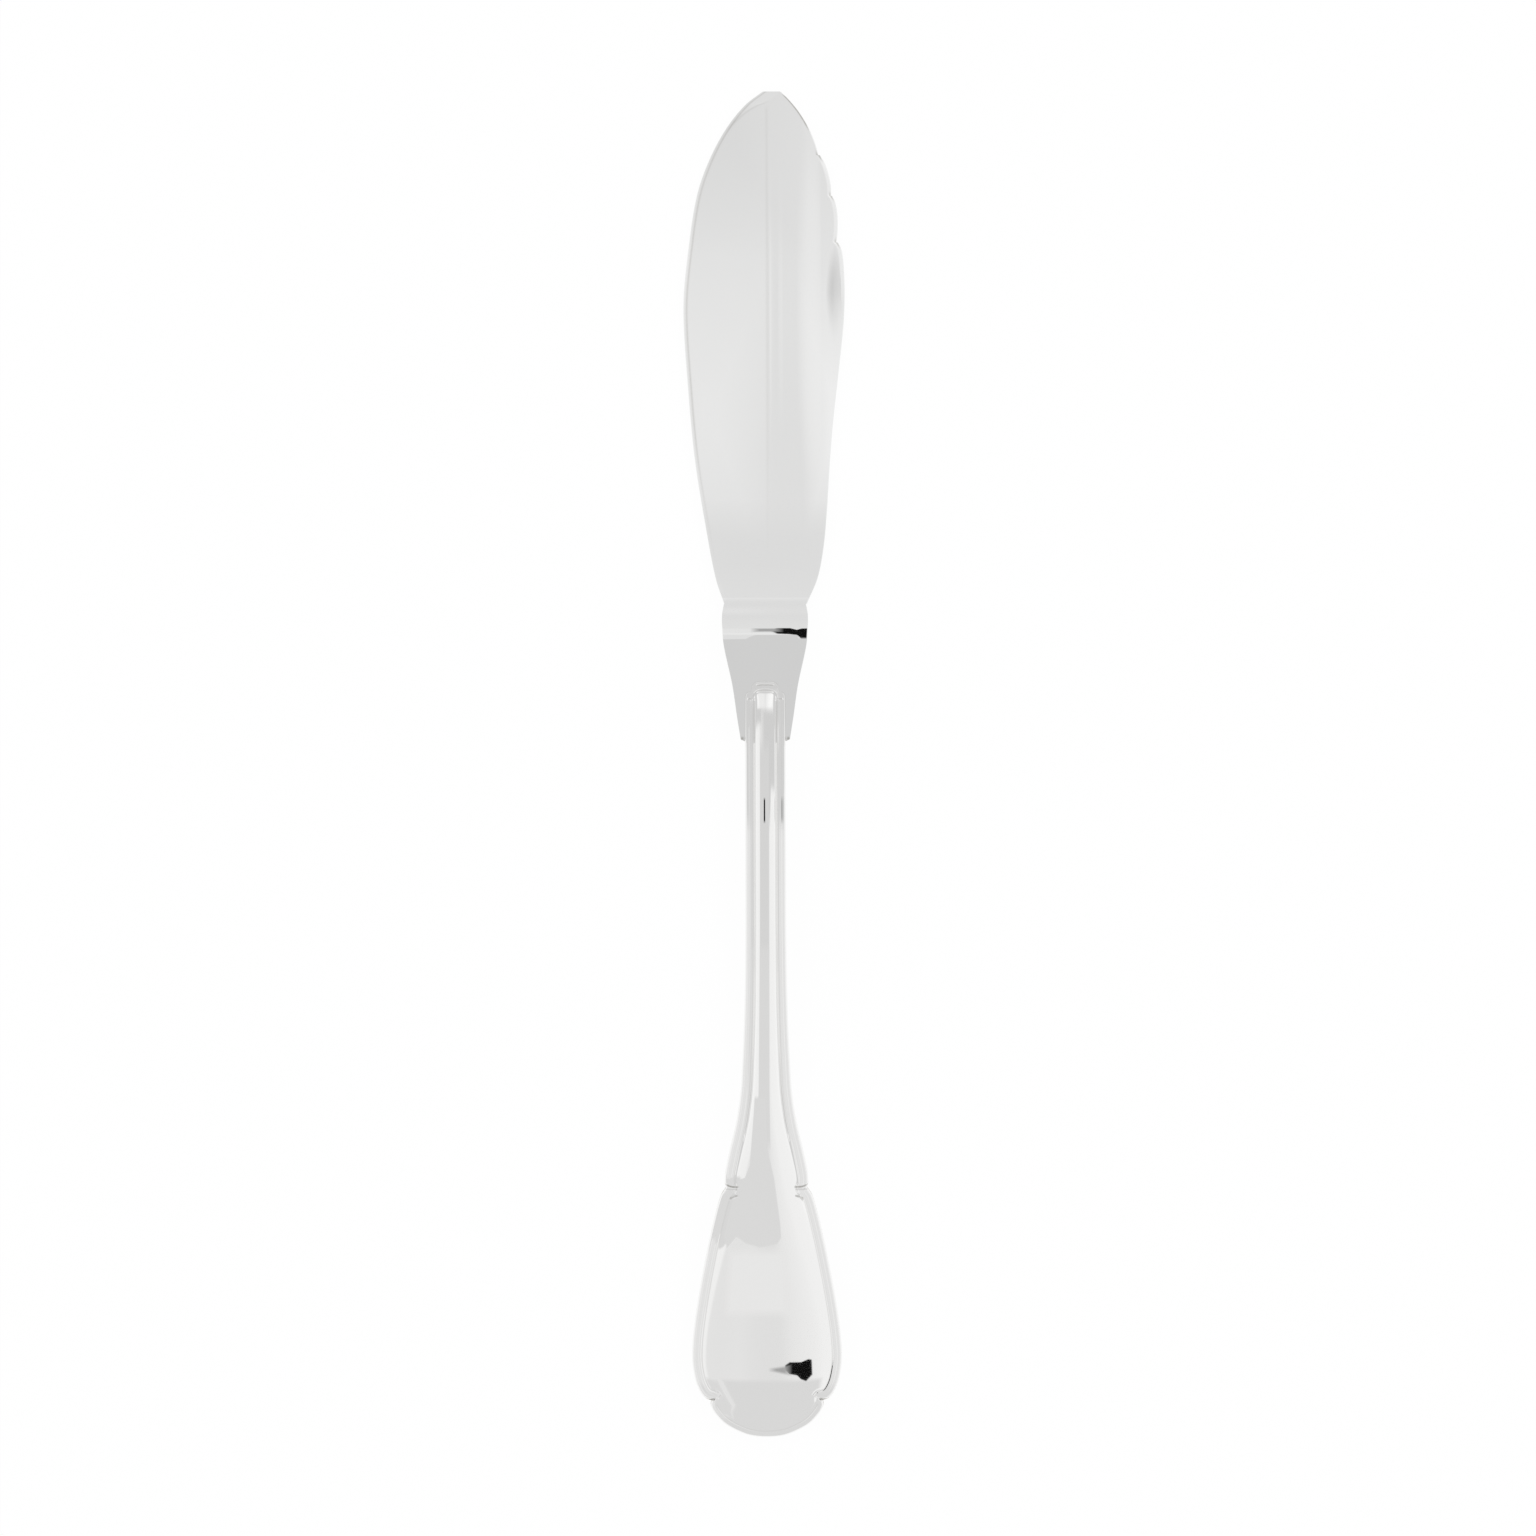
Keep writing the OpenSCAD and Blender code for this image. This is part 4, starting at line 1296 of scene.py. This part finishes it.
def sky_tone(x, y, z):
    """The room's brightness in a direction. x runs to the right, y along the knife and z up."""
    grey = ramp(x * 0.5 + 0.5, ACROSS)
    for left, right, low, high, change in PANELS.values():
        inside = edge(x, *left) * (1.0 - edge(x, *right)) * edge(y, *low) * (1.0 - edge(y, *high))
        grey = grey + inside * (change / 255)
    window = edge(x, *WINDOW[0]) * (1.0 - edge(x, *WINDOW[1])) * edge(y, *WINDOW[2])
    grey = grey * (1.0 - (1.0 - edge(z, *HORIZON)) * (1.0 - window) * HORIZON_SHADE)
    return light_of(grey)


print("greys of the room: from", min(tone for _, tone in ACROSS), "to", max(tone for _, tone in ACROSS))

# %% [markdown]
# The world then tells its rays apart: the camera sees white, glossy rays see the room, and everything else
# gets plain light of an even strength.

# %% The sky
PLAIN_LIGHT = 0.9


def sky_world():
    """White for the camera, plain light for matt surfaces, and a pale room for the metal."""
    world = bpy.data.worlds.new("pale_room")
    tree, surface = bare_tree(world, "ShaderNodeOutputWorld")
    place = add_node(tree, "ShaderNodeTexCoord").outputs["Generated"]
    split = add_node(tree, "ShaderNodeSeparateXYZ", inputs={"Vector": place})
    room = sky_tone(*(Wire(tree, split.outputs[axis]) for axis in "XYZ"))
    gloss, plain, white = (white_light(tree, "ShaderNodeBackground", strength)
                           for strength in (room, PLAIN_LIGHT, 1.0))
    rays = add_node(tree, "ShaderNodeLightPath").outputs
    shine = Wire(tree, rays["Is Glossy Ray"]).most(Wire(tree, rays["Is Transmission Ray"]))
    put(tree, mixed(tree, rays["Is Camera Ray"], mixed(tree, shine, plain, gloss), white), surface)
    return world


bpy.context.scene.world = sky_world()
print("sky:", len(bpy.context.scene.world.node_tree.nodes), "nodes")

# %% [markdown]
# Flags are small cards over the knife that only the metal sees. The black bar at the step, the black patch
# on the broad end and the dark line on the rib are such cards, mirrored. Each has a grey from 0 to 255, as
# the silver shows it, a height over the table, the softness of its outer line as a share of its size, and
# its corners.

# %% Flags
FLAGS = {
    "stem_front_flag": (206, 60, 0.2, [(-10, -7), (19, -7), (23, -1.5), (66, -1.5), (66, 14), (-10, 14)]),
    "front_left_flag": (206, 60, 0.15, [(-80, 9), (-14, 9), (-14, 15), (-80, 15)]),
    "neck_flag": (206, 7, 0.03, [
        (-9, 11.75), (9, 11.75), (9, 19.5), (5.3, 19.5), (4.9, 20.4), (-1.5, 20.4), (-3, 19.5), (-9, 19.4)]),
    "neck_left_flag": (206, 6.9, 0.03, [(-9, 3.4), (-3.7, 3.4), (-2.05, 7.5), (-2.05, 12.3), (-9, 12.3)]),
    "neck_right_flag": (206, 6.9, 0.03, [(3.7, 3.4), (9, 3.4), (9, 12.3), (2.05, 12.3), (2.05, 7.5)]),
    "rib_flag": (211, 9, 0.09, [(-2.0, -30), (1.0, -30), (1.3, 3), (-2.0, 3)]),
    "rib_back_flag": (215, 8.9, 0.06, [(-2.6, -60), (0.9, -60), (1.0, -28.5), (-2.0, -28.5)]),
    "field_flag": (216, 7.2, 0.02, [
        (-2.7, -52), (-0.1, -52), (0.1, -57), (0.25, -60.5), (1.4, -64.9), (2.4, -72.2), (2.5, -74.2),
        (1.8, -75.2), (-1.1, -75.7), (-3.6, -75.1), (-4.7, -74.4), (-5.5, -74.0), (-7.3, -75.7),
        (-8.7, -73.6), (-8.2, -72), (-7.3, -68), (-6.5, -65.2), (-4.2, -64.7), (-3.2, -62.8), (-3.1, -60.5)]),
    "end_light_flag": (230, 7.4, 0.15, [(-7, -86), (3.5, -86), (3.3, -76.4), (-6.6, -76.4)]),
    "shoulder_flag": (214, 12, 0.04, [
        (-22, -75.8), (-11, -75.9), (-9.3, -75.2), (-7.8, -73.2), (-7.2, -70), (-6.2, -66.3), (-9, -65),
        (-22, -64)]),
    "butt_flag": (215, 12, 0.06, [
        (-8.6, -97.2), (11, -97.2), (11, -112), (-9, -112), (-7.4, -104), (-6.2, -102)]),
    "butt_left_flag": (216, 12, 0.06, [
        (-9.9, -97.5), (-7.2, -102.4), (-7.8, -104), (-9, -112), (-14, -112), (-14, -97.5)]),
    "rib_line_flag": (20, 7.0, 0.15, [(-0.34, -9.0), (-0.06, -9.0), (-0.06, -5.4), (-0.34, -5.4)]),
    "thread_line_flag": (165, 7.15, 0.3, [(2.6, -8.8), (2.9, -8.8), (2.9, -5.4), (2.6, -5.4)]),
    "bar_flag": (15, 12, 0.08, [
        (0.9, 23.7), (1.9, 21.6), (3.9, 21.3), (5.0, 20.8), (5.6, 19.6), (7.4, 19.6), (7.4, 25.8),
        (5.7, 25.6), (5.0, 24.4), (3.9, 26.0), (1.9, 26.0)]),
    "bar_tail_flag": (162, 11.8, 0.4, [(-1.6, 23), (2.2, 23), (2.2, 25.5), (-1.6, 25.5)]),
    "blob_tail_flag": (165, 8.9, 0.5, [(0.9, -95.1), (3.7, -95.7), (3.7, -94.3), (0.9, -94.7)]),
    "blob_flag": (12, 9, 0.04, [
        (3.15, -94.2), (3.9, -93.65), (6.0, -93.65), (7.3, -93.15), (7.95, -93.25), (8.1, -95.85),
        (6.95, -96.95), (6.0, -96.6), (5.25, -95.9), (3.9, -95.65), (3.15, -94.9)]),
    "tip_flag": (216, 9, 0.8, [(-18, 90), (0.3, 90), (0.3, 116), (-18, 116)]),
    "blade_light_flag": (231, 8.9, 0.8, [(-15, 40), (-3, 40), (-3, 70), (-15, 70)]),
    "back_light_flag": (237, 8.9, 0.7, [(8.5, 42), (15, 42), (15, 68), (8.5, 68)]),
    "heel_flag": (219, 7.2, 0.65, [(-14, 27.8), (14, 27.8), (14, 38.2), (-14, 38.2)]),
    "dish_flag": (196, 25, 0.75, [
        (12.6, 71.5), (13.0, 70.3), (13.4, 71.5), (13.6, 75), (13.4, 78.5), (13.0, 79.7), (12.6, 78.5),
        (12.4, 75)]),
}
print("flags:", len(FLAGS))

# %% [markdown]
# A flag is a full shape with a rim round it, on which its glow fades out. Only glossy rays see it, and it is
# no part of the knife.

# %% Setting the flags
def flag_material(name, grey):
    """A grey glow that fades with the share stored on the flag's points."""
    material = bpy.data.materials.new(name)
    tree, surface = bare_tree(material, "ShaderNodeOutputMaterial")
    share = add_node(tree, "ShaderNodeAttribute", {"attribute_name": "share"}).outputs["Fac"]
    clear = add_node(tree, "ShaderNodeBsdfTransparent").outputs[0]
    glow = white_light(tree, "ShaderNodeEmission", light_of(grey / 255))
    put(tree, mixed(tree, share, clear, glow), surface)
    return material


def flag(name, grey, height, soft, corners):
    """A flat shape at a height: full inside, and gone at its outer line."""
    points = np.array(corners, float)
    count, middle = len(points), points.mean(axis=0)
    scaled = [mix(middle, points, size) for size in (1 - soft, 1 + soft)]
    rings = [np.column_stack([ring, np.full(count, height)]) * MM for ring in scaled]
    sides = [(i, (i + 1) % count, count + (i + 1) % count, count + i) for i in range(count)]
    share = np.repeat([1.0, 0.0], count)
    mesh = mesh_of(name, np.vstack(rings), [tuple(range(count))] + sides, {"share": share})
    mesh.materials.append(flag_material(name, grey))
    made = new_object(name, mesh)
    for kind in ("camera", "diffuse", "shadow", "transmission", "volume_scatter"):
        setattr(made, "visible_" + kind, False)


for flag_name, row in FLAGS.items():
    flag(flag_name, *row)
print("flags set, the highest at", max(row[1] for row in FLAGS.values()), "mm")

# %% [markdown]
# Two wide, soft lamps stand on the left and on the right. They light the matt parts and draw the faint
# shadow, and the metal doesn't mirror them.

# %% Lamps
LAMPS = [
    ("left_panel", (-0.9, 0.2, 1.1), 0.8, 3.0),
    ("right_panel", (0.9, 0.1, 1.1), 0.8, 3.5),
]
for name, place, width, power in LAMPS:
    data = bpy.data.lights.new(name, "AREA")
    data.shape = "SQUARE"
    data.size = width
    data.energy = power
    lamp = new_object(name, data)
    lamp.location = place
    lamp.rotation_euler = Vector(place).to_track_quat("Z", "Y").to_euler()
    lamp.visible_glossy = False
    print(name, "gives", power, "W")
bpy.context.scene.view_settings.view_transform = "Standard"
